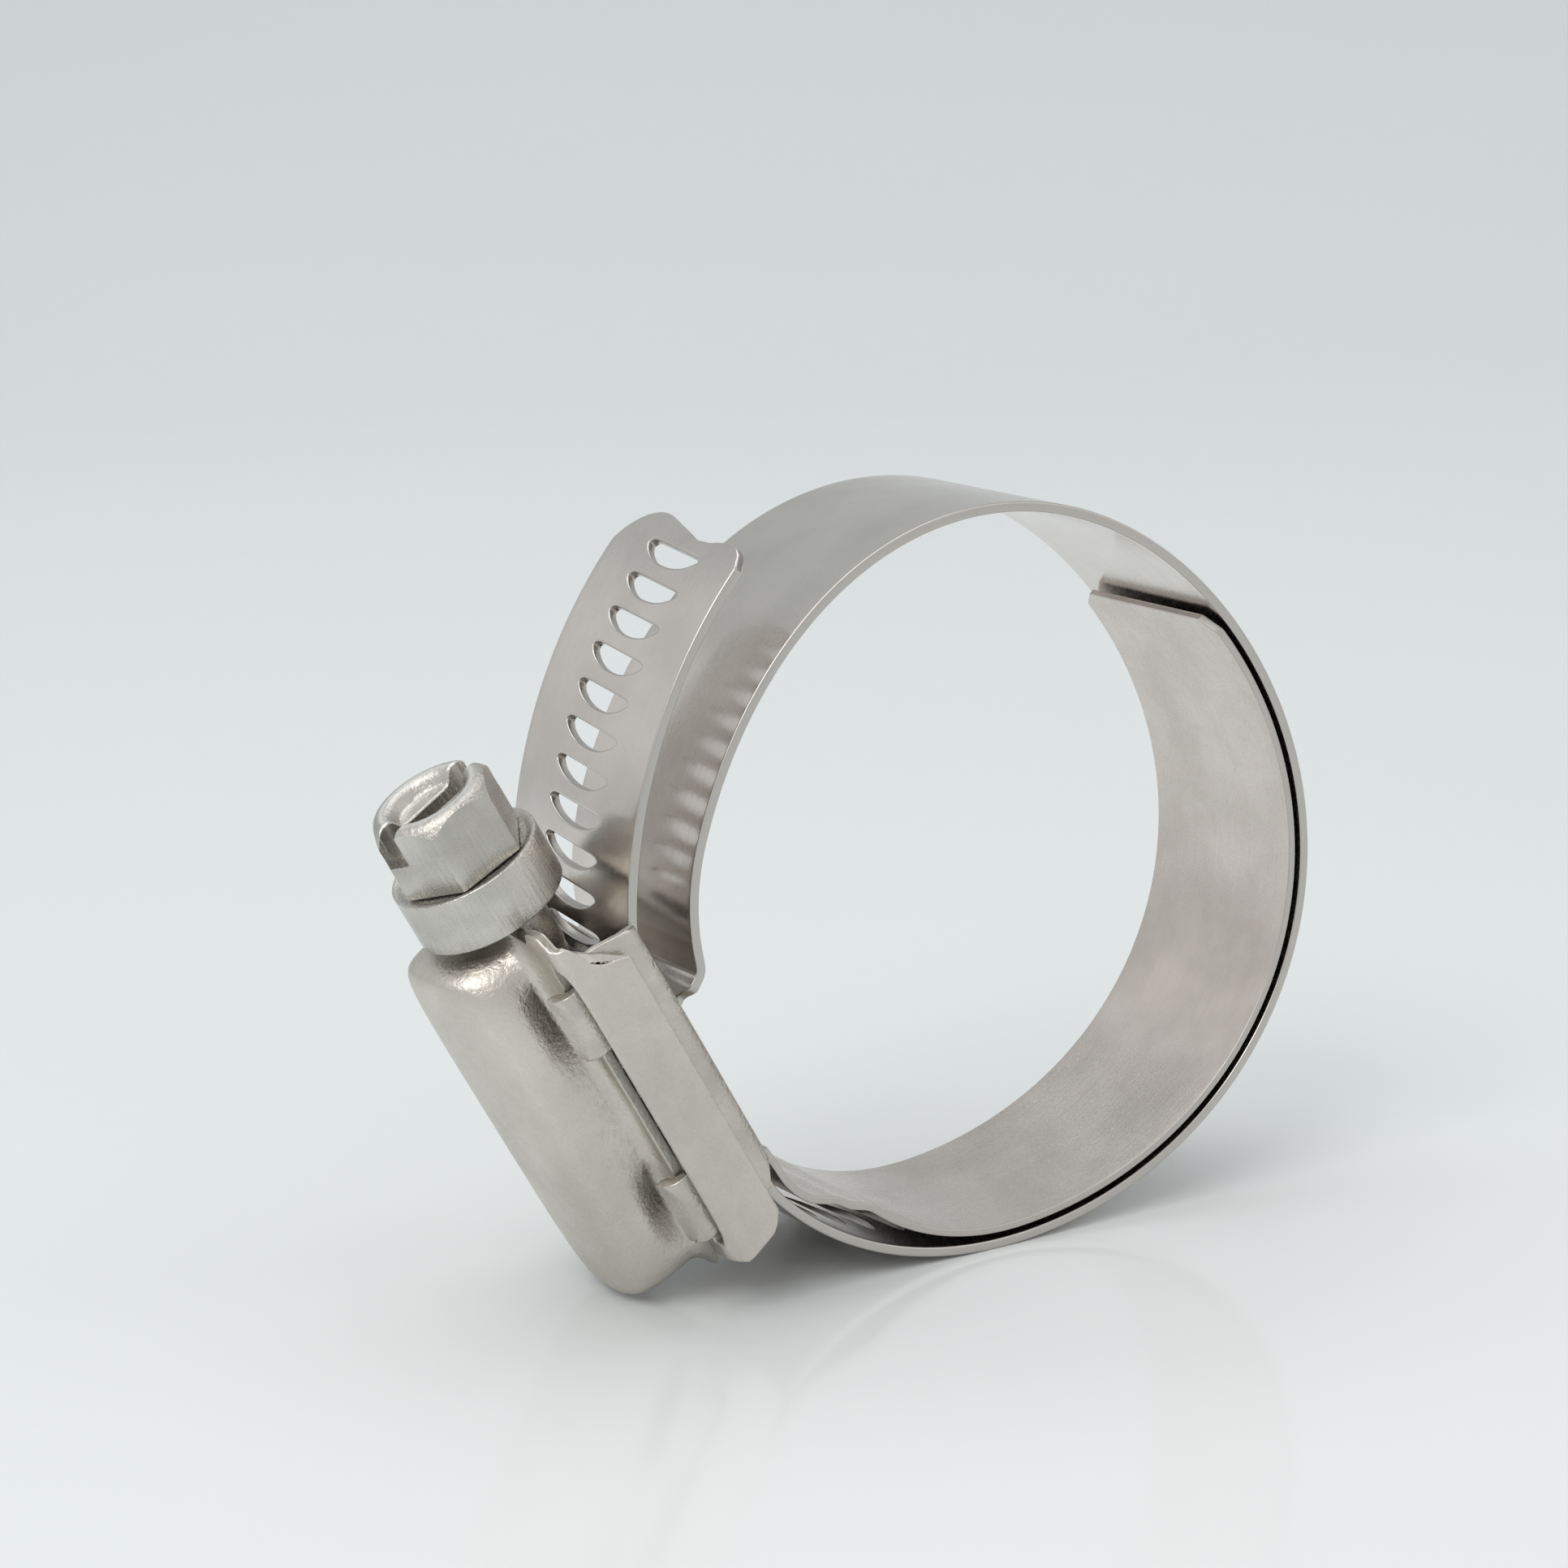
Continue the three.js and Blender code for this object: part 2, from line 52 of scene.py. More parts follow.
BAND_HALF_WIDTH = 7.9
BAND_HALF_THICK = 0.35
LINER_HALF_WIDTH = 7.7
LINER_HALF_THICK = 0.275
CHANNEL_N = -25.9
ANCHOR_ANGLE = 176.0
RING_STEP = 38.05
LEAD_ANGLE = -128.4
MOUTH_ANGLE = -137.0
MOUTH_A = -6.31
PITCH = 2.6
FIRST_SLOT = 40.7
TIP = 43.8
SLOT_ZONE = 4.2
SLOT_SLANT = math.radians(5.9)

BEND_A = 12.8
BEND_R = 8.0
BEND_TURN = math.radians(30.9)
TAIL_R = 34.85

FLANGE_N = -31.2
SHEET = 0.75
WING_Y = 9.45
WING_BEND = 0.62
WING_FLAT = WING_Y - SHEET / 2 - WING_BEND
WING_DEPTH = 3.55
FLANGE_LOW = -7.6
FLANGE_HIGH = 18.3

DOME_MIDDLE = 5.15
DOME_HALF_LENGTH = 14.1
DOME_HALF_WIDTH = 6.35
DOME_TOP_N = -37.0
DOME_FLARE = 1.15
FILLET_RISE = 1.04
CROWN_DRAW = 6.3
POCKET_DEPTH = 0.8
TAB_SPANS = ((-5.3, -0.2), (10.8, 15.8))

SADDLE_N = -24.8
SADDLE_SHEET = 0.6
SADDLE_BEND = 0.55
SADDLE_FLAT = 8.65 - SADDLE_SHEET / 2 - SADDLE_BEND
SADDLE_LOW = -3.0
SADDLE_HIGH = 12.2

SCREW_N = -30.0
HEX_AF = 8.0
HEAD_TOP = 29.2
DRIVER_TURN = math.radians(9)
DRIVER_HALF = 0.8
DRIVER_DEPTH = 2.6
COLLAR_LOW = 20.1
COLLAR_HIGH = 24.1
COLLAR_R = 5.25
SHANK_R = 3.1
THREAD_LOW = -3.0
THREAD_HIGH = 14.4
THREAD_ROOT_R = 2.5

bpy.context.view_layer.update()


# ---------------------------------------------------------------- frames
def ring_to_row(x, y, z):
    """Ring frame in mm to the row frame in metres."""
    x, y, z = np.broadcast_arrays(x, y, z)
    return np.stack([x + RING_CENTRE[0], y, z + RING_CENTRE[1]], -1) * MM


def fastener_xz(n, a):
    """Fastener frame to ring frame: the frame is turned by TILT about y."""
    x = n * math.cos(TILT) - a * math.sin(TILT)
    z = n * math.sin(TILT) + a * math.cos(TILT)
    return x, z


def fastener_to_row(n, y, a):
    """Fastener frame in mm to the row frame in metres."""
    x, z = fastener_xz(np.asarray(n, float), np.asarray(a, float))
    return ring_to_row(x, y, z)


def smooth(x):
    """0 below 0, 1 above 1, and 3 x^2 - 2 x^3 between."""
    x = np.clip(x, 0.0, 1.0)
    return x * x * (3.0 - 2.0 * x)


# ---------------------------------------------------------------- mesh helpers
def vertex_normals(points, quads):
    """Area-weighted mean of the face normals round each vertex."""
    a, b, c, d = (points[quads[:, i]] for i in range(4))
    face = np.cross(c - a, d - b)
    normals = np.zeros_like(points)
    for i in range(4):
        np.add.at(normals, quads[:, i], face)
    return normals / np.maximum(np.linalg.norm(normals, axis=1, keepdims=True), 1e-20)


def enclosed_volume(points, quads):
    """Six times the volume inside the quads; negative if they are wound inside out."""
    a, b, c, d = (points[quads[:, i]] for i in range(4))
    return np.sum(a * np.cross(b, c)) + np.sum(a * np.cross(c, d))


def tidy_faces(faces):
    """Quads whose corners have been merged become triangles, or vanish."""
    result = []
    for face in faces.tolist():
        kept = [v for i, v in enumerate(face) if v != face[i - 1]]
        if len(kept) > 2 and len(set(kept)) == len(kept):
            result.append(kept)
    return result


def new_object(name, points, faces, uv=None, edge=None, sharp=None):
    """A mesh object at the origin. uv and edge are per vertex; sharp is an angle in degrees."""
    mesh = bpy.data.meshes.new(name)
    mesh.from_pydata(points.tolist(), [], faces)
    mesh.polygons.foreach_set("use_smooth", np.ones(len(mesh.polygons), bool))
    if uv is not None:
        loops = np.zeros(len(mesh.loops), int)
        mesh.loops.foreach_get("vertex_index", loops)
        layer = mesh.uv_layers.new(name="strip")
        layer.data.foreach_set("uv", uv[loops].astype(np.float32).ravel())
    # The edge mark: worn edges on the sheet parts, and the painted highlight on the screw head's rim.
    edge_and_highlight_layer = mesh.attributes.new("edge", "FLOAT", "POINT")
    values = np.zeros(len(points)) if edge is None else edge
    edge_and_highlight_layer.data.foreach_set("value", values.astype(np.float32))
    if sharp is not None:
        mesh.set_sharp_from_angle(angle=math.radians(sharp))
    mesh.update()
    obj = bpy.data.objects.new(name, mesh)
    bpy.context.scene.collection.objects.link(obj)
    return obj


def merged_points(points):
    """Points closer than the rounding step are one: returns (index of the first of each, and for
    every point the number of the one that stands for it). Points are in metres."""
    keys = np.round(points * 2e7).astype(np.int64)
    _, first, back = np.unique(keys, axis=0, return_index=True, return_inverse=True)
    return first, back.ravel()


def grid_quads(rows, columns, closed=False):
    """Quads of a grid of rows x columns vertices; closed joins the last column to the first."""
    i, j = np.meshgrid(np.arange(rows - 1), np.arange(columns if closed else columns - 1),
                       indexing="ij")
    k = (j + 1) % columns
    return np.stack([i * columns + j, i * columns + k,
                     (i + 1) * columns + k, (i + 1) * columns + j], -1).reshape(-1, 4)


class Shell:
    """Collects grids of points with three sheet coordinates and merges the points they share."""

    def __init__(self):
        self.points = []
        self.quads = []
        self.edges = []
        self.count = 0

    def add(self, d, y, t, edge=0.0, closed=False, flip=False):
        d, y, t, edge = np.broadcast_arrays(d, y, t, edge)
        quads = grid_quads(d.shape[0], d.shape[1], closed) + self.count
        self.quads.append(quads[:, ::-1] if flip else quads)
        self.points.append(np.stack([d, y, t], -1).reshape(-1, 3))
        self.edges.append(edge.ravel())
        self.count += d.size

    def merged(self):
        points = np.concatenate(self.points)
        keys = np.round(points * 2e4).astype(np.int64)
        _, first, back = np.unique(keys, axis=0, return_index=True, return_inverse=True)
        back = back.ravel()
        quads = back[np.concatenate(self.quads)]
        edge = np.zeros(len(first))
        np.maximum.at(edge, back, np.concatenate(self.edges))
        return points[first], quads, edge


def loft(name, rings, sharp=35):
    """Closed body through rings of points, rings[i, j] in metres. The last point of a ring joins
    the first, and a fan round its middle closes each end."""
    rows, columns = rings.shape[:2]
    points = rings.reshape(-1, 3)
    quads = grid_quads(rows, columns, True)
    points = np.vstack([points, points[:columns].mean(0), points[-columns:].mean(0)])
    j = np.arange(columns)
    k = (j + 1) % columns
    end = (rows - 1) * columns
    first = np.stack([k, j, np.full(columns, len(points) - 2)], -1)
    last = np.stack([j + end, k + end, np.full(columns, len(points) - 1)], -1)
    fans = np.vstack([first, last])
    a, b, c = (points[fans[:, i]] for i in range(3))
    if enclosed_volume(points, quads) + np.sum(a * np.cross(b, c)) < 0:
        quads, fans = quads[:, ::-1], fans[:, ::-1]
    kept, back = merged_points(points)
    faces = tidy_faces(back[quads]) + tidy_faces(back[fans])
    return new_object(name, points[kept], faces, sharp=sharp)


def join(name, parts):
    """Several closed bodies that belong to one piece, as one object."""
    with bpy.context.temp_override(active_object=parts[0], selected_editable_objects=parts):
        bpy.ops.object.join()
    parts[0].name = name
    parts[0].data.name = name
    return parts[0]


# ---------------------------------------------------------------- sheet metal
def edge_profile(half, thick, r, inner, steps):
    """Across the sheet from (inner, +thick) round the outer edge to (inner, -thick)."""
    flat = np.linspace(inner, half - r, steps + 1)
    turn = np.linspace(0.0, math.pi / 2, 4)
    top = np.stack([half - r + r * np.sin(turn), thick - r + r * np.cos(turn)], -1)
    low = top[::-1] * (1, -1)
    y = np.concatenate([flat[:-1], top[:, 0], low[:, 0], flat[::-1][1:]])
    t = np.concatenate([np.full(steps, thick), top[:, 1], low[:, 1], np.full(steps, -thick)])
    mark = np.zeros(len(y))
    mark[steps + 1:steps + 7] = 1.0
    return y, t, mark


def hole_grid(shell, d, y, thick, outline, r):
    """Round one hole: from the grid's border in to the outline, through the sheet and out again.
    The border runs once round the cell; ring m lies at border + (outline - border) * m."""
    top = np.stack([np.full(len(y), d[-1]), y], -1)
    right = np.stack([d[::-1], np.full(len(d), y[-1])], -1)
    low = np.stack([np.full(len(y), d[0]), y[::-1]], -1)
    left = np.stack([d, np.full(len(d), y[0])], -1)
    border = np.concatenate([top[:-1], right[:-1], low[:-1], left[:-1]])
    middle = np.array([d[0] + d[-1], y[0] + y[-1]]) / 2
    reach = np.array([d[-1] - d[0], y[-1] - y[0]]) / 2
    unit = (border - middle) / reach
    rim = outline(unit[:, 0], unit[:, 1]) + middle
    away = border - rim
    away = away / np.maximum(np.linalg.norm(away, axis=1, keepdims=True), 1e-9)
    rings, depth, mark = [], [], []
    for m in (0.0, 0.3, 0.6, 0.85):
        rings.append(border + (rim + away * r - border) * m)
        depth.append(thick)
        mark.append(0.0)
    for turn in np.linspace(0.0, math.pi / 2, 4):
        rings.append(rim + away * r * (1 - math.sin(turn)))
        depth.append(thick - r * (1 - math.cos(turn)))
        mark.append(min(1.0, turn))
    rings = np.array(rings + rings[::-1])
    depth = np.array(depth + [-x for x in depth[::-1]])
    mark = np.array(mark + mark[::-1])
    shell.add(rings[:, :, 0], rings[:, :, 1], depth[:, None], mark[:, None], closed=True,
              flip=True)


def end_thickness(stations, thick, r, open_ends):
    """Share of the thickness at each row: 1, and a quarter circle of size r at a closed end."""
    scale = np.ones(len(stations))
    for end, is_open in zip((0, -1), open_ends):
        if not is_open:
            inside = np.clip(np.abs(stations - stations[end]) / r, 0, 1)
            scale = scale - r / thick * (1 - np.sqrt(1 - (1 - inside) ** 2))
    return scale[:, None]


def sheet_shell(stations, half, thick, r, zones, open_ends):
    """Outer and inner skins and both side edges of the flat strip, with its holes."""
    shell = Shell()
    d = stations[:, None]
    scale = end_thickness(stations, thick, r, open_ends)
    for side, inner in ((1, zones[-1][1]), (-1, -zones[0][0])):
        y, t, mark = edge_profile(half, thick, r, inner, 7)
        shell.add(d, side * y[None], side * t[None] * scale, mark[None])
    for low, high, columns, holes in zones:
        y = np.linspace(low, high, columns + 1)
        row = 0
        for first, last, outline in holes + [(len(stations) - 1, None, None)]:
            if first > row:
                part, s = d[row:first + 1], scale[row:first + 1]
                shell.add(part, y[None], thick * s)
                shell.add(part, y[None, ::-1], -thick * s)
            if outline:
                hole_grid(shell, stations[first:last + 1], y, thick, outline, min(r, 0.13))
                row = last
    return shell.merged()


def sheet_body(name, stations, half, thick, r, place, zones, warp=None, open_ends=(False, False)):
    """A bent sheet-metal strip.
    A point at distance d along, y across and t through the sheet lies at place(d, y, t).
    stations are the distances of the rows. zones are (low y, high y, columns, holes) across the
    middle part, and a hole is (first row, last row, outline). warp moves (d, y) to trim the ends.
    open_ends tells which ends meet a neighbouring length and so are flat."""
    flat, quads, edge = sheet_shell(stations, half, thick, r, zones, open_ends)
    laid = flat.copy()
    if warp:
        laid[:, 0], laid[:, 1] = warp(flat[:, 0], flat[:, 1])
    points = place(laid[:, 0], laid[:, 1], laid[:, 2])
    if enclosed_volume(points, quads) < 0:
        quads = quads[:, ::-1]
    normals = vertex_normals(points, quads)
    faces = tidy_faces(quads)
    sides = len(faces)
    for end, neighbour, is_open in ((0, 1, open_ends[0]), (-1, -2, open_ends[1])):
        cap = np.nonzero(np.abs(flat[:, 0] - stations[end]) < 1e-4)[0]
        inside = np.abs(flat[:, 0] - stations[neighbour]) < 1e-4
        faces.append(end_face(flat, cap, points, points[inside].mean(0)))
        if is_open:
            normals[cap] = square_normals(normals[cap], laid[cap], points[cap], place, neighbour)
    uv = laid[:, :2] * 0.1
    obj = new_object(name, points, faces, uv=uv, edge=edge)
    set_sheet_normals(obj, normals, sides)
    return obj


def square_normals(normals, laid, points, place, step):
    """Normals turned square to the run of the strip, so that two lengths meet without a seam."""
    along = place(laid[:, 0] + 0.01 * np.sign(step), laid[:, 1], laid[:, 2]) - points
    along /= np.linalg.norm(along, axis=1, keepdims=True)
    flatter = normals - along * np.sum(along * normals, 1, keepdims=True)
    return flatter / np.linalg.norm(flatter, axis=1, keepdims=True)


def end_face(flat, cap, points, inside):
    """The polygon that closes one end, its corners in order round the section."""
    angle = np.arctan2(flat[cap, 2] * 20, flat[cap, 1])
    order = cap[np.argsort(angle)]
    a, b = points[order], points[np.roll(order, -1)]
    middle = a.mean(0)
    area = np.cross(a - middle, b - middle).sum(0)
    if np.dot(area, middle - inside) < 0:
        order = order[::-1]
    return order.tolist()


def set_sheet_normals(obj, normals, sides):
    """Smooth normals on the sheet, flat normals on the two end faces."""
    mesh = obj.data
    loops = np.zeros(len(mesh.loops), int)
    mesh.loops.foreach_get("vertex_index", loops)
    per_loop = normals[loops]
    for polygon in list(mesh.polygons)[sides:]:
        start = polygon.loop_start
        per_loop[start:start + polygon.loop_total] = polygon.normal
    mesh.normals_split_custom_set(per_loop.tolist())


# ---------------------------------------------------------------- band and liner
def band_radius(angle):
    """r = 26.05 + 0.6 cos 3(angle + 20), less a tuck towards the fixed end; degrees, mm."""
    tuck = np.clip((angle - 165) / 20, 0, None)
    return 26.05 + 0.6 * np.cos(3 * np.radians(angle + 20)) - 1.2 * tuck ** 2


def liner_radius(angle):
    """The inside of the band, with a gap that opens towards the joggle."""
    gap = 0.625 + 0.35 + 1.2 * np.clip((-88 - angle) / 27, 0, None) ** 2
    return band_radius(angle) - gap


def polar(radius, angles):
    """Points (x, z) at radius(angle), for angles in degrees."""
    a = np.radians(angles)
    r = radius(angles)
    return np.stack([r * np.cos(a), r * np.sin(a)], -1)


class Line:
    """A centre line through points in the ring frame, softened at its corners.
    distance is counted along the points and is zero at the point called origin."""

    def __init__(self, points, origin, soft):
        steps = np.linalg.norm(np.diff(points, axis=0), axis=1)
        run = np.concatenate([[0], np.cumsum(steps)])
        self.zero = run[origin]
        self.run = np.arange(run[0], run[-1], 0.05)
        path = np.stack([np.interp(self.run, run, points[:, k]) for k in (0, 1)], -1)
        self.path = self.softened(path, soft)
        self.tangent = np.gradient(self.path, axis=0)
        self.tangent /= np.linalg.norm(self.tangent, axis=1, keepdims=True)

    @staticmethod
    def softened(path, soft):
        """A moving average of width soft mm, repeated three times, ends held."""
        width = max(3, int(soft / 0.05)) | 1
        pad = width // 2
        for _ in range(3):
            grown = np.concatenate([2 * path[:1] - path[pad:0:-1], path,
                                    2 * path[-1:] - path[-2:-pad - 2:-1]])
            sums = np.cumsum(np.vstack([np.zeros((1, 2)), grown]), axis=0)
            path = (sums[width:] - sums[:-width]) / width
        return path

    def at(self, distance):
        """Position and unit tangent at a distance from the origin."""
        run = np.asarray(distance) + self.zero
        beyond = (run - np.clip(run, self.run[0], self.run[-1]))[..., None]
        p = np.stack([np.interp(run, self.run, self.path[:, k]) for k in (0, 1)], -1)
        t = np.stack([np.interp(run, self.run, self.tangent[:, k]) for k in (0, 1)], -1)
        t /= np.linalg.norm(t, axis=-1, keepdims=True)
        return p + beyond * t, t

    def place(self, d, y, t):
        """Point = P(d) + t N(d), where N is the tangent turned by 90 degrees, outwards."""
        p, along = self.at(d)
        return ring_to_row(p[..., 0] - t * along[..., 1], y, p[..., 1] + t * along[..., 0])

    def nearest(self, x, z):
        """Distance of the sample nearest a point."""
        gap = np.hypot(self.path[:, 0] - x, self.path[:, 1] - z)
        return self.run[np.argmin(gap)] - self.zero


def tail_points():
    """Channel and tail: straight to BEND_A, an arc of BEND_R, then the long arc of TAIL_R."""
    straight = np.linspace(MOUTH_A, BEND_A, 60)
    first = np.linspace(0, BEND_TURN, 30)[1:]
    last = np.linspace(0, math.radians(46), 120)[1:]
    n1 = CHANNEL_N + BEND_R * (1 - np.cos(first))
    a1 = BEND_A + BEND_R * np.sin(first)
    n2 = n1[-1] + TAIL_R * (np.cos(BEND_TURN) - np.cos(BEND_TURN + last))
    a2 = a1[-1] + TAIL_R * (np.sin(BEND_TURN + last) - np.sin(BEND_TURN))
    n = np.concatenate([np.full(60, CHANNEL_N), n1, n2])
    a = np.concatenate([straight, a1, a2])
    return np.stack(fastener_xz(n, a), -1)


def band_line():
    """The whole band: fixed end, once round the ring, channel, tail."""
    hook = np.stack(fastener_xz(np.array([-25.3, -24.2, -23.5]), np.array([8.93, 9.55, 9.95])), -1)
    ring = polar(band_radius, np.linspace(184.4, MOUTH_ANGLE, 900))
    tail = tail_points()
    points = np.concatenate([hook, ring, tail[1:]])
    line = Line(points, len(hook) + len(ring) - 1, 0.8)
    line.zero -= MOUTH_A
    return line


def liner_line():
    """The liner: fixed root, joggle up to the inside of the ring, free end."""
    joggle = np.array([
        [-20.1, -14.95], [-18.97, -16.64], [-18.3, -17.7], [-17.4, -18.6], [-16.3, -19.3],
        [-15.2, -19.6], [-14.2, -19.75], [-13.3, -20.35],
    ])
    arc = polar(liner_radius, np.linspace(-119, 43.5, 500))
    return Line(np.concatenate([joggle, arc]), 0, 0.55)


BAND = band_line()
LINER = liner_line()


def liner_place(d, y, t):
    """The liner runs the other way round, so its outer side is at -t."""
    return LINER.place(d, y, -t)


def slot_outline(u, v):
    """Half-moon slot. u runs along the band and v across it, both -1 to 1 on the cell's border.
    With s = sin(pi v / 2): y = 3.2 s; the upper edge is straight and the lower edge lies
    h = 0.42 + 0.1 s + 1.02 (1 - |s|^2.3)^0.75 below it. The ends are bulged and the whole slot
    leans by SLOT_SLANT."""
    s = np.sin(math.pi / 2 * np.clip(v, -1, 1))
    height = 0.42 + 0.1 * s + 1.02 * np.clip(1 - np.abs(s) ** 2.3, 0, 1) ** 0.75
    share = (np.clip(u, -1, 1) + 1) / 2
    d = 0.66 - 0.1 * np.abs(s) ** 12 - height * (1 - share)
    bulge = 0.2 * np.sin(math.pi * share) * (np.abs(v) > 0.999)
    y = 3.2 * s + np.sign(v) * bulge
    turned_d = d * math.cos(SLOT_SLANT) + y * math.sin(SLOT_SLANT)
    turned_y = y * math.cos(SLOT_SLANT) - d * math.sin(SLOT_SLANT)
    return np.stack([turned_d, turned_y], -1)


def tip_height(y):
    """How far the tip reaches below TIP: a small lobe, a hollow and a tall lobe."""
    across = [-7.9, -7.4, -6.4, -5.3, -4.2, -3.0, -1.8, -0.6, 0.6, 1.8, 3.0, 4.0, 5.0, 6.0, 7.0, 7.6, 7.9]
    below = [2.9, 1.85, 1.3, 1.15, 1.3, 1.55, 1.5, 1.2, 0.8, 0.45, 0.12, 0.0, 0.15, 0.6, 1.45, 2.3, 3.1]
    fine = np.linspace(-7.9, 7.9, 317)
    curve = np.interp(fine, across, below)
    kernel = np.hanning(19)
    curve = np.convolve(np.pad(curve, 9, mode="edge"), kernel / kernel.sum(), mode="valid")
    return -np.interp(y, fine, curve)


def tip_warp(d, y):
    """Rows between the last slot and the end are moved so that the last row follows the tip."""
    start = 41.55 - 3.4 * smooth((np.abs(y) - SLOT_ZONE) / 3.7)
    end = TIP - 0.8
    share = np.clip((d - start) / (end - start), 0, 1) ** 1.3
    return d + (tip_height(y) + 0.8) * share, y


def liner_end_warp(length):
    """The free end has clipped corners: it narrows by 17 % over the last 1.3 mm."""
    def warp(d, y):
        cut = np.clip((d - (length - 1.3)) / 1.3, 0, 1)
        return d, y * (1 - 0.17 * cut * np.abs(y) / LINER_HALF_WIDTH)
    return warp


def rows(low, high, step, round_low=False, round_high=False, r=0.12):
    """Distances of the rows from low to high, closer together at a rounded end."""
    inner = np.linspace(low, high, max(2, int(round((high - low) / step)) + 1))
    extra = np.array([0.0, 0.1, 0.35, 1.0]) * r
    if round_low:
        inner = np.concatenate([low + extra, inner[inner > low + 1.5 * r]])
    if round_high:
        inner = np.concatenate([inner[inner < high - 1.5 * r], high - extra[::-1]])
    return inner


def slotted_rows(first_slot, last_slot):
    """Eight rows to each slot pitch, over the cells of the slots first to last (numbered from
    the tip), with the holes' first and last rows."""
    low = FIRST_SLOT - PITCH * (last_slot + 0.5)
    count = last_slot - first_slot + 1
    stations = low + np.arange(count * 8 + 1) * PITCH / 8
    holes = [(8 * i, 8 * i + 8, slot_outline) for i in range(count)]
    return stations, holes


def band_piece(name, stations, holes, bodies, hinge, replaced, warp=None, open_ends=(True, True)):
    """One length of band. bodies are the two that it joins; hinge is the joint's distance."""
    zone = [(-SLOT_ZONE, SLOT_ZONE, 20, holes)]
    obj = sheet_body(name, stations, BAND_HALF_WIDTH, BAND_HALF_THICK, 0.14, BAND.place, zone,
                     warp, open_ends)
    finish_strip(obj, BAND, stations, bodies, hinge, replaced)
    return obj


def finish_strip(obj, line, stations, bodies, hinge, replaced):
    """Hides the parts that the strip replaces and ties a strip to its one body. A strip between two
    bodies is tied to neither and is not bent: the even reach round the joint is worked out but not used,
    and the strip's transform is baked in.
    """
    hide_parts(*replaced)
    if len(bodies) == 1:
        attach(obj, bodies[0])
        return
    reach = min(abs(stations[0] - hinge), abs(stations[-1] - hinge))
    low = line.place(np.array(hinge - reach), 0.0, 0.0)
    high = line.place(np.array(hinge + reach), 0.0, 0.0)
    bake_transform(obj)


def make_tail():
    """Rigid free end: seventeen slots, then the plain tip."""
    stations, holes = slotted_rows(0, 16)
    plain = rows(stations[-1], TIP - 0.8, 0.16, round_high=True)
    stations = np.concatenate([stations, plain[1:]])
    return band_piece("band_tail_strip", stations, holes, ["tail"], 0, ["band_tail"], tip_warp,
                      (True, False))


def make_mouth():
    """The length that bends into the channel; a hairline gap keeps it clear of the tail."""
    stations, holes = slotted_rows(17, 18)
    stations[-1] -= 0.08
    return band_piece("band_mouth_strip", stations, holes, ["lead", "run_in"], MOUTH_A,
                      ["band_lead", "band_run_in"])


def make_band():
    """Tail, run-in and ring, cut midway between the joints, so that every joint lies inside one length.
    """
    made = [make_tail(), make_mouth()]
    angles = [ANCHOR_ANGLE - RING_STEP * i for i in range(8)] + [LEAD_ANGLE]
    hinges = [BAND.nearest(*polar(band_radius, np.array([a]))[0]) for a in angles]
    stations, holes = slotted_rows(19, 23)
    made.append(band_piece("band_ring_strip_9", stations, holes, ["ring_8", "lead"], hinges[8],
                           ["band_arc_8"]))
    ends = [(hinges[i] + hinges[i + 1]) / 2 for i in range(7)] + [stations[0]]
    for i in range(7, 0, -1):
        low, high = ends[i - 1], ends[i]
        stations, holes = rows(low, high, 0.33), []
        if i == 7:
            slotted = slotted_rows(24, 24)[0]
            stations = np.concatenate([rows(low, slotted[0], 0.33)[:-1], slotted])
            holes = [(len(stations) - 9, len(stations) - 1, slot_outline)]
        made.append(band_piece(f"band_ring_strip_{i + 1}", stations, holes,
                               [f"ring_{i}", f"ring_{i + 1}"], hinges[i], [f"band_arc_{i}"]))
    stations = rows(BAND.run[0] - BAND.zero, ends[0], 0.28, round_low=True)
    made.append(band_piece("band_ring_strip_1", stations, [], ["frame", "ring_1"], hinges[0],
                           ["band_anchor"], anchor_warp, (False, True)))
    return made


def anchor_warp(d, y):
    """The hooked end narrows to a tongue so that it goes through the saddle."""
    start = BAND.run[0] - BAND.zero
    narrow = 1 - 0.126 * smooth((start + 2.0 - d) / 0.9)
    return d, y * narrow


def make_liner():
    """Root and joggle, then four arcs, cut midway between the joints."""
    made = []
    length = LINER.run[-1] - LINER.zero
    hinges = [LINER.nearest(-18.9, -16.75)]
    for angle in (-112, -73.125, -34.25, 4.625):
        hinges.append(LINER.nearest(*polar(liner_radius, np.array([angle]))[0]))
    ends = [0.0] + [(hinges[i] + hinges[i + 1]) / 2 for i in range(4)] + [length]
    replaced = [["liner_root", "liner_joggle"]] + [[f"liner_arc_{i}"] for i in (1, 2, 3, 4)]
    for i in range(5):
        first, last = i == 0, i == 4
        stations = rows(ends[i], ends[i + 1], 0.3, first, last)
        warp = liner_end_warp(length) if last else None
        zone = [(-SLOT_ZONE, SLOT_ZONE, 12, [])]
        obj = sheet_body(f"liner_strip_{i + 1}", stations, LINER_HALF_WIDTH, LINER_HALF_THICK,
                         0.1, liner_place, zone, warp, (not first, not last))
        before = "frame" if first else f"liner_{i}"
        finish_strip(obj, LINER, stations, [before, f"liner_{i + 1}"], hinges[i],
                     replaced[i])
        made.append(obj)
    return made


# ---------------------------------------------------------------- housing
def rounded_hole(half_d, half_y, corner):
    """Outline function of a rounded rectangle; corner is the share of each side that is round."""
    def outline(u, v):
        power = 1 / (1 - corner)
        size = (np.abs(u) ** (2 * power) + np.abs(v) ** (2 * power)) ** (1 / (2 * power))
        return np.stack([half_d * u / size, half_y * v / size], -1)
    return outline


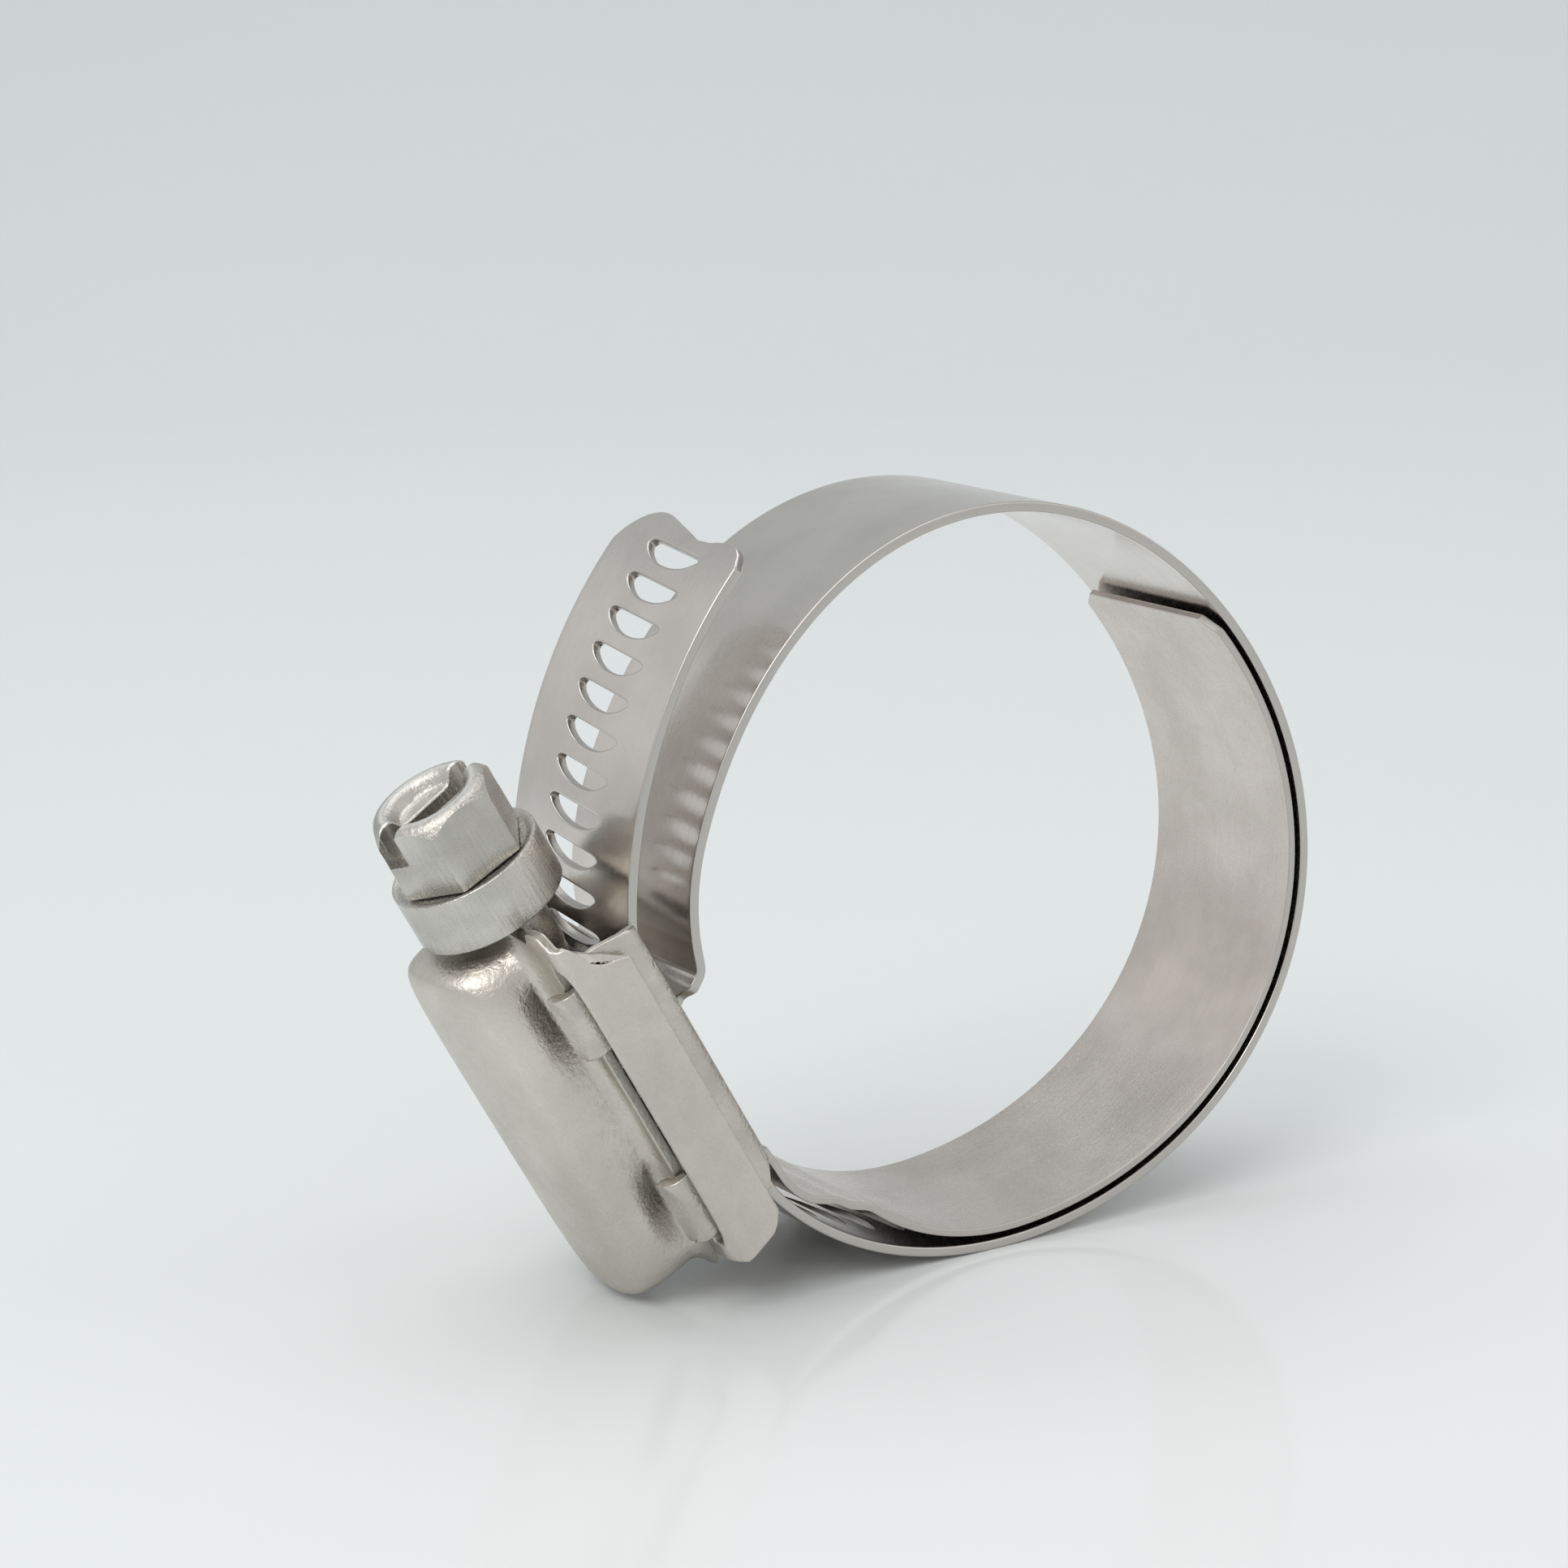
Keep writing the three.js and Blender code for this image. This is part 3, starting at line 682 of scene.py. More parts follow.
def fold(u, flat, radius):
    """Across a sheet folded down at both sides. Returns (y, depth, turn): y across, depth below
    the flat part, turn the angle of the sheet. flat is the half width before the bend."""
    side = np.sign(u)
    over = np.abs(u) - flat
    turn = np.clip(over / radius, 0, math.pi / 2)
    past = np.clip(over - radius * math.pi / 2, 0, None)
    y = side * (np.minimum(np.abs(u), flat) + radius * np.sin(turn))
    depth = radius * (1 - np.cos(turn)) + past
    return y, depth, side * turn


def skirt_place(d, y, t):
    """Flange and wings: the middle of the sheet lies half a sheet inside the flange's face."""
    across, depth, turn = fold(y, WING_FLAT, WING_BEND)
    n = FLANGE_N + SHEET / 2 + depth - t * np.cos(turn)
    return fastener_to_row(n, across + t * np.sin(turn), d)


def skirt_warp(d, y):
    """Trims both ends of the wings: a horned top edge and a cut lower corner, both given as the
    height a at each distance n from the hose."""
    depth = fold(y, WING_FLAT, WING_BEND)[1]
    n = FLANGE_N + SHEET / 2 + depth
    high = np.interp(n, [-30.8, -30.45, -29.9, -29.3, -28.6, -27.8, -26.8, -26.35],
                     [19.0, 19.2, 18.7, 17.2, 16.45, 16.2, 15.85, 15.1])
    beside = np.clip((np.abs(y) - 5.5) / 1.0, 0, 1) * np.clip((9.0 - np.abs(y)) / 1.2, 0, 1)
    high = high + 1.2 * smooth(beside)
    low = np.interp(n, [-30.8, -30.2, -27.5, -26.95, -26.35], [-7.6, -8.25, -7.7, -6.8, -6.2])
    share = (d - FLANGE_LOW) / (FLANGE_HIGH - FLANGE_LOW)
    return low + (high - low) * share, y


def moved(outline, by_d, by_y=0.0):
    """The same outline, shifted from the middle of its cell."""
    def result(u, v):
        return outline(u, v) + np.array([by_d, by_y])
    return result


def make_skirt():
    """Flange with three openings, and two wings folded down from it."""
    stations = rows(FLANGE_LOW, FLANGE_HIGH, 0.45, True, True, r=0.16)
    first = int(np.argmin(np.abs(stations + 6.9)))
    last = int(np.argmin(np.abs(stations - 17.4)))
    shift = DOME_MIDDLE - (stations[first] + stations[last]) / 2
    window = rounded_hole(11.35, 0.62, 0.75)
    under_dome = rounded_hole(11.2, 5.0, 0.8)
    zones = [
        (-9.35, -7.2, 6, [(first, last, moved(window, shift, -0.03))]),
        (-7.2, -5.9, 3, []),
        (-5.9, 5.9, 16, [(first, last, moved(under_dome, shift))]),
        (5.9, 7.2, 3, []),
        (7.2, 9.35, 6, [(first, last, moved(window, shift, 0.03))]),
    ]
    half = WING_FLAT + WING_BEND * math.pi / 2 + WING_DEPTH
    return sheet_body("housing_skirt", stations, half, SHEET / 2, 0.16, skirt_place, zones,
                      skirt_warp)


def pocket(a, n):
    """Depth of the oval pockets pressed into the dome beside the tabs:
    exp(-((a - a0) / 3.4)^4 - ((n + 31.9) / 1.7)^2) of POCKET_DEPTH."""
    total = 0.0
    for middle in (-2.8, 13.2):
        total = total + np.exp(-((a - middle) / 3.4) ** 4 - ((n + 31.9) / 1.7) ** 2)
    return POCKET_DEPTH * total


def dome_levels(inset):
    """(outward growth, height n) of the contours: a fillet at the foot, then a wall that draws in
    to the crown as 1 - cos(q)^0.62 while it rises as sin(q)^0.62."""
    foot = FLANGE_N + 0.02 + inset
    shrink = 1.0 if inset == 0 else 0.2
    levels = []
    for q in np.linspace(0, math.pi / 2, 7)[:-1]:
        rise = 0.9 * DOME_FLARE * (1 - math.cos(q))
        levels.append((DOME_FLARE * shrink * (1 - math.sin(q)), foot - rise))
    wall = foot - FILLET_RISE
    for q in np.radians(np.linspace(0, 90, 22)):
        draw = 1 - max(math.cos(q), 0.0) ** 0.62
        levels.append((-draw * CROWN_DRAW, wall + (DOME_TOP_N + inset - wall) * math.sin(q) ** 0.62))
    return levels


def dome_rings(inset):
    """Contours of the drawn dome from its foot to its crown. With c and s the cosine and sine of
    the angle round it, y = W sign(c) |c|^p and a = a0 + L sign(s) |s|^p; p = 2 / 4.2 on the wall
    and less at the foot, which is squarer. The two ends round over faster than the sides."""
    angle = np.linspace(0, 2 * math.pi, 168, endpoint=False)
    c, s = np.cos(angle), np.sin(angle)
    rings = []
    for grow, n in dome_levels(inset):
        flare = max(grow, 0.0)
        crown = min(max(-grow, 0.0) / CROWN_DRAW, 1.0)
        over = 1 - math.sqrt(1 - crown ** 2)
        width = max(DOME_HALF_WIDTH + grow - inset, 0.02)
        low = DOME_HALF_LENGTH + 0.35 * flare - inset - 4.6 * over
        high = DOME_HALF_LENGTH + 0.25 * flare - inset - 5.4 * over
        power = 2 / (4.2 + 2.4 * flare)
        a = DOME_MIDDLE + np.where(s > 0, high, low) * np.sign(s) * np.abs(s) ** power
        y = width * np.sign(c) * np.abs(c) ** power
        press = pocket(a, n) * smooth((np.abs(y) / width - 0.45) / 0.5)
        y = y - np.sign(y) * np.minimum(press, np.abs(y) * 0.5)
        rings.append(fastener_to_row(np.full_like(a, n), y, a))
    return rings


def make_dome():
    """Outer skin, rim and inner skin, in one closed loft."""
    outer = dome_rings(0.0)
    inner = dome_rings(SHEET)
    rings = np.array(outer[::-1] + inner)
    return loft("housing_dome", rings, sharp=50)


def make_housing():
    parts = [make_skirt(), make_dome()]
    obj = join("housing_sheet", parts)
    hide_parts("housing")
    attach(obj, "frame")
    return obj


# ---------------------------------------------------------------- saddle
def saddle_place(d, y, t):
    """A channel, open towards the dome; +t is its outer side."""
    across, depth, turn = fold(y, SADDLE_FLAT, SADDLE_BEND)
    n = SADDLE_N - SADDLE_SHEET / 2 - depth + t * np.cos(turn)
    return fastener_to_row(n, across + t * np.sin(turn), d)


def saddle_warp(d, y):
    """The floor is shorter than the walls at both ends. A faint nick marks each end of the slit."""
    depth = np.abs(y) - SADDLE_FLAT
    high = SADDLE_HIGH + 4.7 * smooth((depth + 0.9) / 1.5) + 0.55 * smooth((depth - 1.0) / 3.0)
    low = SADDLE_LOW + 0.6 - 2.9 * smooth(depth / 1.2)
    share = (d - SADDLE_LOW) / (SADDLE_HIGH - SADDLE_LOW)
    nick = np.exp(-((d - 7.3) / 0.5) ** 2 - ((depth - 0.4) / 0.5) ** 2)
    return low + (high - low) * share + 0.12 * nick, y


def make_saddle_channel():
    """Floor with the slit for the band's hooked end, and two walls."""
    stations = rows(SADDLE_LOW, SADDLE_HIGH, 0.4, True, True, r=0.12)
    first = int(np.argmin(np.abs(stations - 7.9)))
    last = int(np.argmin(np.abs(stations - 10.7)))
    middle = (stations[first] + stations[last]) / 2
    slit = moved(rounded_hole(0.8, 7.15, 0.6), 9.28 - middle)
    half = SADDLE_FLAT + SADDLE_BEND * math.pi / 2 + 4.2
    zones = [(-7.6, 7.6, 22, [(first, last, slit)])]
    return sheet_body("saddle_channel", stations, half, SADDLE_SHEET / 2, 0.12, saddle_place,
                      zones, saddle_warp)


def tab_section(share):
    """Section of a locking tab, as (n, y): up the wall and round an arc of 1.2 mm over the
    flange, then the sheared end: a D-shaped facet below the arc, widest at the middle of the tab,
    where share = sqrt(1 - x^2) is 1, with a fine groove along its curved border."""
    middle = np.array([-31.2, 7.46])
    border = math.radians(88 - 58 * share)
    arc = np.linspace(0, border, 8)
    outer = middle + 1.2 * np.stack([-np.sin(arc), np.cos(arc)], -1)
    tip = np.array([-32.42, 7.05])
    start = middle + 1.05 * np.array([-math.sin(border), math.cos(border)])
    facet = [start, start + (tip - start) * 0.12 + [-0.05 * share, 0.03 * share],
             start + (tip - start) * 0.55, tip, tip + [0.12, -0.14], tip + [0.45, -0.12]]
    inner = [[-31.62, 7.2], [-31.48, 7.5], [-31.38, 7.72], [-31.1, 7.9], [-30.7, 8.04], [-29.6, 8.05]]
    return np.vstack([[[-29.6, 8.65], [-30.5, 8.66]], outer, facet, inner])


def make_tab(side, low, high):
    """Sections along the tab's width; the outermost ones are drawn in to round the edges."""
    middle, half = (low + high) / 2, (high - low) / 2
    x = np.concatenate([[-1, -0.995, -0.97], np.linspace(-0.93, 0.93, 15), [0.97, 0.995, 1]])
    rings = []
    for value in x:
        section = tab_section(math.sqrt(max(0.0, 1 - value ** 2)))
        drawn = 0.13 * (1 - math.sqrt(max(0.0, 1 - max(0.0, (abs(value) - 0.93) / 0.07) ** 2)))
        centre = section.mean(0)
        section = centre + (section - centre) * (1 - drawn)
        rings.append(fastener_to_row(section[:, 0], side * section[:, 1], middle + half * value))
    return loft(f"tab_{side}_{low}", np.array(rings), sharp=38)


def make_saddle():
    parts = [make_saddle_channel()]
    for side in (-1, 1):
        for low, high in TAB_SPANS:
            parts.append(make_tab(side, low, high))
    obj = join("saddle_sheet", parts)
    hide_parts("saddle")
    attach(obj, "frame")
    return obj


# ---------------------------------------------------------------- screw
def lathe(name, profile, segments=120):
    """Profile of (radius, a) turned round the screw axis."""
    angle = np.linspace(0, 2 * math.pi, segments, endpoint=False)
    r, a = profile[:, :1], profile[:, 1:]
    rings = fastener_to_row(SCREW_N + r * np.cos(angle), r * np.sin(angle), a + 0 * angle)
    return loft(name, rings, sharp=30)


def rounded(points, r, steps=3):
    """A profile with each inner corner replaced by a short curve of size r."""
    points = np.array(points, float)
    result = [points[0]]
    for before, here, after in zip(points[:-2], points[1:-1], points[2:]):
        back, on = before - here, after - here
        size = min(r, np.linalg.norm(back) / 2.1, np.linalg.norm(on) / 2.1)
        p = here + back / np.linalg.norm(back) * size
        q = here + on / np.linalg.norm(on) * size
        for s in np.linspace(0, 1, steps + 1):
            result.append((1 - s) ** 2 * p + 2 * s * (1 - s) * here + s ** 2 * q)
    result.append(points[-1])
    return np.array(result)


def make_thread():
    """Helical ridge: its section (share of height, across) is carried along
    angle = 2 pi (a - FIRST_SLOT) / PITCH, and fades over one turn at both ends."""
    per_turn = 48
    count = int((THREAD_HIGH - THREAD_LOW) / PITCH * per_turn)
    a = np.linspace(THREAD_LOW, THREAD_HIGH, count + 1)
    angle = 2 * math.pi * (a - FIRST_SLOT) / PITCH
    step = np.arange(count + 1)
    fade = smooth(np.minimum(step, count - step) / per_turn)
    tip = 2.9 + 1.3 * (0.12 + 0.88 * fade)
    section = [(0, -0.85), (0.85, -0.38), (1, -0.24), (1, 0.24), (0.85, 0.38), (0, 0.85)]
    rings = []
    for level, across in section:
        r = THREAD_ROOT_R + (tip - THREAD_ROOT_R) * level
        rings.append(fastener_to_row(SCREW_N + r * np.cos(angle), r * np.sin(angle), a + across))
    return loft("thread", np.array(rings).transpose(1, 0, 2), sharp=30)


def head_drop(r):
    """How far the head's end face lies below its top, without the driver slot: a dished middle, a
    narrow flat rim and a domed chamfer."""
    radius = [0.0, 1.9, 2.35, 2.75, 2.95, 3.1, 3.55, 3.8, 4.1, 4.4, 4.7]
    drop = [0.92, 0.95, 0.86, 0.22, 0.05, 0.0, 0.0, 0.09, 0.36, 0.75, 1.2]
    return np.interp(r, radius, drop)


def hexagon_corners():
    """Corners (q, p) of the hexagon, turned so that the driver slot runs along q."""
    turn = np.radians(np.arange(6) * 60) - DRIVER_TURN
    return HEX_AF / math.sqrt(3) * np.stack([np.cos(turn), np.sin(turn)], -1)


def hexagon_chord(hexagon, p):
    """Lowest and highest q of the hexagon on each line of constant p."""
    spans = []
    for value in p:
        hits = []
        for a, b in zip(hexagon, np.roll(hexagon, -1, axis=0)):
            if min(a[1], b[1]) - 1e-9 <= value <= max(a[1], b[1]) + 1e-9:
                hits.append(a[0] + (b[0] - a[0]) * (value - a[1]) / (b[1] - a[1]))
        spans.append((min(hits), max(hits)))
    return np.array(spans)


def head_lines(hexagon):
    """Lines of constant p over the head: even steps, closer ones at the corners and at the driver
    slot. Each edge of the slot is there twice, and low tells which of a pair lies in the slot."""
    top = hexagon[:, 1].max() - 0.03
    near_slot = DRIVER_HALF + np.array([0.06, 0.15])
    p = np.concatenate([np.linspace(-4.7, 4.7, 105), hexagon[:, 1] - 0.07,
                        hexagon[:, 1] + 0.07, near_slot, -near_slot])
    p = np.round(p[(np.abs(p) <= top) & (np.abs(np.abs(p) - DRIVER_HALF) > 1e-3)], 4)
    p = np.unique(np.concatenate([p, [top, -top]]))
    p = np.sort(np.concatenate([p, np.repeat([-DRIVER_HALF, DRIVER_HALF], 2)]))
    low = np.abs(p) < DRIVER_HALF
    low[np.nonzero(p == -DRIVER_HALF)[0][1]] = True
    low[np.nonzero(p == DRIVER_HALF)[0][0]] = True
    return p, low


def make_hex():
    """The head's end face is a grid of lines p across the driver slot, with q along each from one
    side of the hexagon to the other: height = HEAD_TOP - head_drop(r), and DRIVER_DEPTH lower in
    the slot. Walls drop from the border of the grid to the collar."""
    hexagon = hexagon_corners()
    p, low = head_lines(hexagon)
    chord = hexagon_chord(hexagon, p)
    q = chord[:, :1] + (chord[:, 1:] - chord[:, :1]) * np.linspace(0, 1, 70)
    p, low = p[:, None] + 0 * q, low[:, None]
    r = np.hypot(p, q)
    rounding = 0.12 * np.clip(1 - (np.abs(p) - DRIVER_HALF) / 0.15, 0, 1) ** 2
    height = np.where(low, HEAD_TOP - DRIVER_DEPTH, HEAD_TOP - head_drop(r) - rounding)
    upper = np.stack([q, p, height], -1).reshape(-1, 3)
    lower = np.stack([q, p, np.full_like(q, COLLAR_HIGH - 0.1)], -1).reshape(-1, 3)
    size = q.size
    index = np.arange(size).reshape(q.shape)
    border = np.concatenate([index[0], index[1:, -1], index[-1, -2::-1], index[-2:0:-1, 0]])
    shares = np.linspace(0, 1, 7)[:, None, None]
    walls = upper[border] * (1 - shares) + lower[border] * shares
    grid = grid_quads(*q.shape)
    side = grid_quads(7, len(border), True)[:, ::-1] + 2 * size
    points = np.vstack([upper, lower, walls.reshape(-1, 3)])
    quads = np.vstack([grid, grid[:, ::-1] + size, side])
    cos_t, sin_t = math.cos(DRIVER_TURN), math.sin(DRIVER_TURN)
    n = SCREW_N + points[:, 0] * cos_t - points[:, 1] * sin_t
    y = points[:, 0] * sin_t + points[:, 1] * cos_t
    placed = fastener_to_row(n, y, points[:, 2])
    if enclosed_volume(placed, quads) < 0:
        quads = quads[:, ::-1]
    kept, back = merged_points(placed)
    # rim marks the flat rim of the head's end face; the screw material paints it bright there, a painted
    # highlight.
    rim = np.zeros(len(points))
    rim[:size] = np.clip(1 - np.abs(r - 3.3) / 0.5, 0, 1).ravel()
    return new_object("hex_head", placed[kept], tidy_faces(back[quads]), edge=rim[kept], sharp=32)


def make_screw():
    collar = rounded([
        (0, COLLAR_LOW), (COLLAR_R, COLLAR_LOW), (COLLAR_R, COLLAR_HIGH),
        (COLLAR_R - 0.3, COLLAR_HIGH), (COLLAR_R - 0.7, COLLAR_HIGH - 0.22),
        (0, COLLAR_HIGH - 0.22),
    ], 0.14)
    shank = rounded([
        (0, -8.2), (1.6, -8.2), (2.0, -7.8), (2.0, -6.4), (3.0, -5.8), (3.0, 15.4), (SHANK_R, 15.6),
        (SHANK_R, COLLAR_LOW + 0.2), (0, COLLAR_LOW + 0.2),
    ], 0.1)
    parts = [make_hex(), lathe("collar", collar, 160), lathe("shank", shank), make_thread()]
    obj = join("worm_screw_turned", parts)
    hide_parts("worm_screw")
    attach(obj, "screw")
    return obj


# ---------------------------------------------------------------- shader groups
def new_group(name, inputs, outputs):
    """Node group with float or colour sockets; returns the group and its two end nodes."""
    group = bpy.data.node_groups.new(name, "ShaderNodeTree")
    for label, kind, value in inputs:
        socket = group.interface.new_socket(label, in_out="INPUT", socket_type=kind)
        if value is not None:
            socket.default_value = value
    for label, kind in outputs:
        group.interface.new_socket(label, in_out="OUTPUT", socket_type=kind)
    return group, group.nodes.new("NodeGroupInput"), group.nodes.new("NodeGroupOutput")


def add(tree, kind, settings=None, values=None):
    """A node with its settings and its unlinked input values."""
    node = tree.nodes.new(kind)
    for key, value in (settings or {}).items():
        setattr(node, key, value)
    for key, value in (values or {}).items():
        node.inputs[key].default_value = value
    return node


def link(tree, source, target):
    tree.links.new(source, target)


def maths(tree, operation, a, b, clamp=False):
    """A Math node; a and b are sockets or numbers."""
    node = add(tree, "ShaderNodeMath", {"operation": operation, "use_clamp": clamp})
    for i, value in enumerate((a, b)):
        if isinstance(value, (int, float)):
            node.inputs[i].default_value = value
        else:
            link(tree, value, node.inputs[i])
    return node.outputs[0]


def grain_group():
    """Fine all-over grain and soft large blotches, as values round 0.5."""
    group, start, end = new_group("Grain", [
        ("Vector", "NodeSocketVector", None), ("Fine Scale", "NodeSocketFloat", 9000.0),
        ("Blotch Scale", "NodeSocketFloat", 160.0),
    ], [("Fine", "NodeSocketFloat"), ("Blotch", "NodeSocketFloat")])
    for label, detail in (("Fine", 2.0), ("Blotch", 3.0)):
        noise = add(group, "ShaderNodeTexNoise", values={"Detail": detail, "Roughness": 0.6})
        link(group, start.outputs["Vector"], noise.inputs["Vector"])
        link(group, start.outputs[f"{label} Scale"], noise.inputs["Scale"])
        link(group, noise.outputs["Fac"], end.inputs[label])
    return group


def lines_group():
    """Drawn or brushed lines: noise stretched along the first axis."""
    group, start, end = new_group("Lines", [
        ("Vector", "NodeSocketVector", None), ("Along", "NodeSocketFloat", 1.0),
        ("Across", "NodeSocketFloat", 60.0), ("Through", "NodeSocketFloat", 60.0),
    ], [("Value", "NodeSocketFloat")])
    size = add(group, "ShaderNodeCombineXYZ")
    for label, axis in (("Along", "X"), ("Across", "Y"), ("Through", "Z")):
        link(group, start.outputs[label], size.inputs[axis])
    scaled = add(group, "ShaderNodeVectorMath", {"operation": "MULTIPLY"})
    link(group, start.outputs["Vector"], scaled.inputs[0])
    link(group, size.outputs[0], scaled.inputs[1])
    noise = add(group, "ShaderNodeTexNoise", values={"Scale": 1.0, "Detail": 4.0, "Roughness": 0.65})
    link(group, scaled.outputs[0], noise.inputs["Vector"])
    link(group, noise.outputs["Fac"], end.inputs["Value"])
    return group


def wear_and_highlight_group():
    """Edge marks broken up by noise: on the sheet parts the worn edges, darker than the steel; on the
    screw a painted highlight, a bright ring on the flat rim of the head's end face.
    """
    group, start, end = new_group("Edge Wear and Rim Highlight", [
        ("Vector", "NodeSocketVector", None), ("Amount", "NodeSocketFloat", 0.8),
    ], [("Mask", "NodeSocketFloat"), ("Speckle", "NodeSocketFloat")])
    mark = add(group, "ShaderNodeAttribute", {"attribute_name": "edge"})
    noise = add(group, "ShaderNodeTexNoise", values={"Scale": 4200.0, "Detail": 3.0})
    link(group, start.outputs["Vector"], noise.inputs["Vector"])
    broken = maths(group, "ADD", maths(group, "MULTIPLY", noise.outputs["Fac"], 1.4), 0.5)
    mask = maths(group, "MULTIPLY", mark.outputs["Fac"], start.outputs["Amount"], clamp=True)
    link(group, mask, end.inputs["Mask"])
    link(group, maths(group, "MULTIPLY", broken, mask), end.inputs["Speckle"])
    return group


GRAIN = grain_group()
LINES = lines_group()
WEAR_AND_HIGHLIGHT = wear_and_highlight_group()


def group_node(tree, group, vector, values=None):
    node = tree.nodes.new("ShaderNodeGroup")
    node.node_tree = group
    link(tree, vector, node.inputs["Vector"])
    for key, value in (values or {}).items():
        node.inputs[key].default_value = value
    return node


def mixed(tree, factor, a, b):
    """Colour mix; each of a and b is a colour or a socket."""
    node = add(tree, "ShaderNodeMix", {"data_type": "RGBA"})
    link(tree, factor, node.inputs["Factor"])
    for label, value in (("A", a), ("B", b)):
        socket = next(s for s in node.inputs if s.name == label and s.type == "RGBA")
        if isinstance(value, tuple):
            socket.default_value = value + (1.0,)
        else:
            link(tree, value, socket)
    return next(s for s in node.outputs if s.type == "RGBA")


def remap(tree, value, low, high, out_low, out_high):
    """Carries low to high linearly to out_low to out_high, clamped."""
    node = add(tree, "ShaderNodeMapRange")
    link(tree, value, node.inputs["Value"])
    for label, number in (("From Min", low), ("From Max", high), ("To Min", out_low),
                          ("To Max", out_high)):
        node.inputs[label].default_value = number
    return node.outputs["Result"]


def metal(name, pale, deep, rough, fine, bump, line_sizes, line_bump, use_strip, edge_and_highlight_colour):
    """Stainless steel: blotchy colour, grain and lines in the roughness and the surface."""
    material = bpy.data.materials.new(name)
    material.use_nodes = True
    tree = material.node_tree
    shader = tree.nodes["Principled BSDF"]
    shader.inputs["Metallic"].default_value = 1.0
    where = add(tree, "ShaderNodeTexCoord")
    vector = where.outputs["Object"]
    turned = add(tree, "ShaderNodeVectorRotate", {"rotation_type": "Y_AXIS"}, {"Angle": TILT})
    link(tree, vector, turned.inputs["Vector"])
    strip = where.outputs["UV"] if use_strip else turned.outputs["Vector"]
    grain = group_node(tree, GRAIN, vector, {"Fine Scale": fine})
    lines = group_node(tree, LINES, strip, dict(zip(("Along", "Across", "Through"), line_sizes)))
    wear_and_highlight = group_node(tree, WEAR_AND_HIGHLIGHT, vector)
    tone = mixed(tree, remap(tree, grain.outputs["Blotch"], 0.35, 0.65, 0.0, 1.0), deep, pale)
    streak = remap(tree, lines.outputs["Value"], 0.35, 0.7, 0.0, 0.22)
    tone = mixed(tree, streak, tone, deep)
    # Marked places take the edge colour: worn edges on the sheet parts, and on the screw a painted
    # highlight on the head's rim.
    speck = mixed(tree, remap(tree, wear_and_highlight.outputs["Speckle"], 0.2, 0.75, 0.0, 1.0),
                  tuple(c * 0.45 for c in edge_and_highlight_colour), edge_and_highlight_colour)
    tone = mixed(tree, wear_and_highlight.outputs["Mask"], tone, speck)
    link(tree, tone, shader.inputs["Base Color"])
    low, high = rough
    base = remap(tree, grain.outputs["Fine"], 0.3, 0.7, low, high)
    base = maths(tree, "ADD", base, remap(tree, lines.outputs["Value"], 0.3, 0.7, -0.04, 0.06))
    base = maths(tree, "ADD", base, maths(tree, "MULTIPLY", wear_and_highlight.outputs["Mask"], 0.2))
    link(tree, base, shader.inputs["Roughness"])
    height = maths(tree, "ADD", maths(tree, "MULTIPLY", grain.outputs["Fine"], bump),
                   maths(tree, "MULTIPLY", lines.outputs["Value"], line_bump))
    relief = add(tree, "ShaderNodeBump", values={"Strength": 1.0, "Distance": 0.0001})
    link(tree, height, relief.inputs["Height"])
    link(tree, relief.outputs["Normal"], shader.inputs["Normal"])
    return material


def make_materials():
    return {
        "band": metal("band steel", (0.71, 0.67, 0.635), (0.63, 0.595, 0.56), (0.13, 0.2), 5200.0,
                      0.03, (0.8, 42.0, 1.0), 0.05, True, (0.47, 0.455, 0.43)),
        "liner": metal("liner steel", (0.70, 0.64, 0.60), (0.58, 0.53, 0.49), (0.2, 0.3), 5200.0,
                       0.05, (0.9, 60.0, 1.0), 0.1, True, (0.50, 0.48, 0.455)),
        "housing": metal("housing steel", (0.66, 0.625, 0.57), (0.57, 0.54, 0.49), (0.3, 0.46),
                         3400.0, 0.55, (300.0, 300.0, 300.0), 0.10, False, (0.62, 0.60, 0.56)),
        "saddle": metal("saddle steel", (0.64, 0.61, 0.55), (0.48, 0.455, 0.41), (0.25, 0.42),
                        4200.0, 0.5, (900.0, 500.0, 900.0), 0.3, False, (0.6, 0.58, 0.54)),
        # The screw's last colour, (0.85, 0.84, 0.8), is a painted highlight on the flat rim of the head.
        "screw": metal("screw steel", (0.65, 0.635, 0.59), (0.46, 0.445, 0.41), (0.2, 0.33),
                       6000.0, 0.15, (3800.0, 3800.0, 150.0), 0.7, False, (0.85, 0.84, 0.8)),
    }


# ---------------------------------------------------------------- stage
def floor_material():
    material = bpy.data.materials.new("pale board")
    material.use_nodes = True
    tree = material.node_tree
    shader = tree.nodes["Principled BSDF"]
    where = add(tree, "ShaderNodeTexCoord")
    noise = add(tree, "ShaderNodeTexNoise", values={"Scale": 3.0, "Detail": 2.0})
    link(tree, where.outputs["Object"], noise.inputs["Vector"])
    tone = mixed(tree, noise.outputs["Fac"], (0.72, 0.755, 0.76), (0.78, 0.80, 0.805))
    link(tree, tone, shader.inputs["Base Color"])
    shader.inputs["Roughness"].default_value = 0.12
    shader.inputs["IOR"].default_value = 1.4
    return material


def make_floor():
    """A board that curves up into a wall: height = R (1 - cos q) along an arc, then straight."""
    q = np.linspace(0, math.pi / 2, 60)
    y = np.concatenate([[-1.5], 0.45 + 1.6 * np.sin(q), [2.05]])
    z = np.concatenate([[0.0], 1.6 * (1 - np.cos(q)), [3.0]])
    x = np.array([-2.5, 2.5])
    grid = np.stack(np.broadcast_arrays(x[None], y[:, None], z[:, None]), -1)
    obj = new_object("board", grid.reshape(-1, 3), grid_quads(len(y), 2).tolist())
    turn = Matrix.Rotation(math.radians(-32.2), 4, "Z")
    obj.data.transform(turn)
    obj.data.materials.append(floor_material())


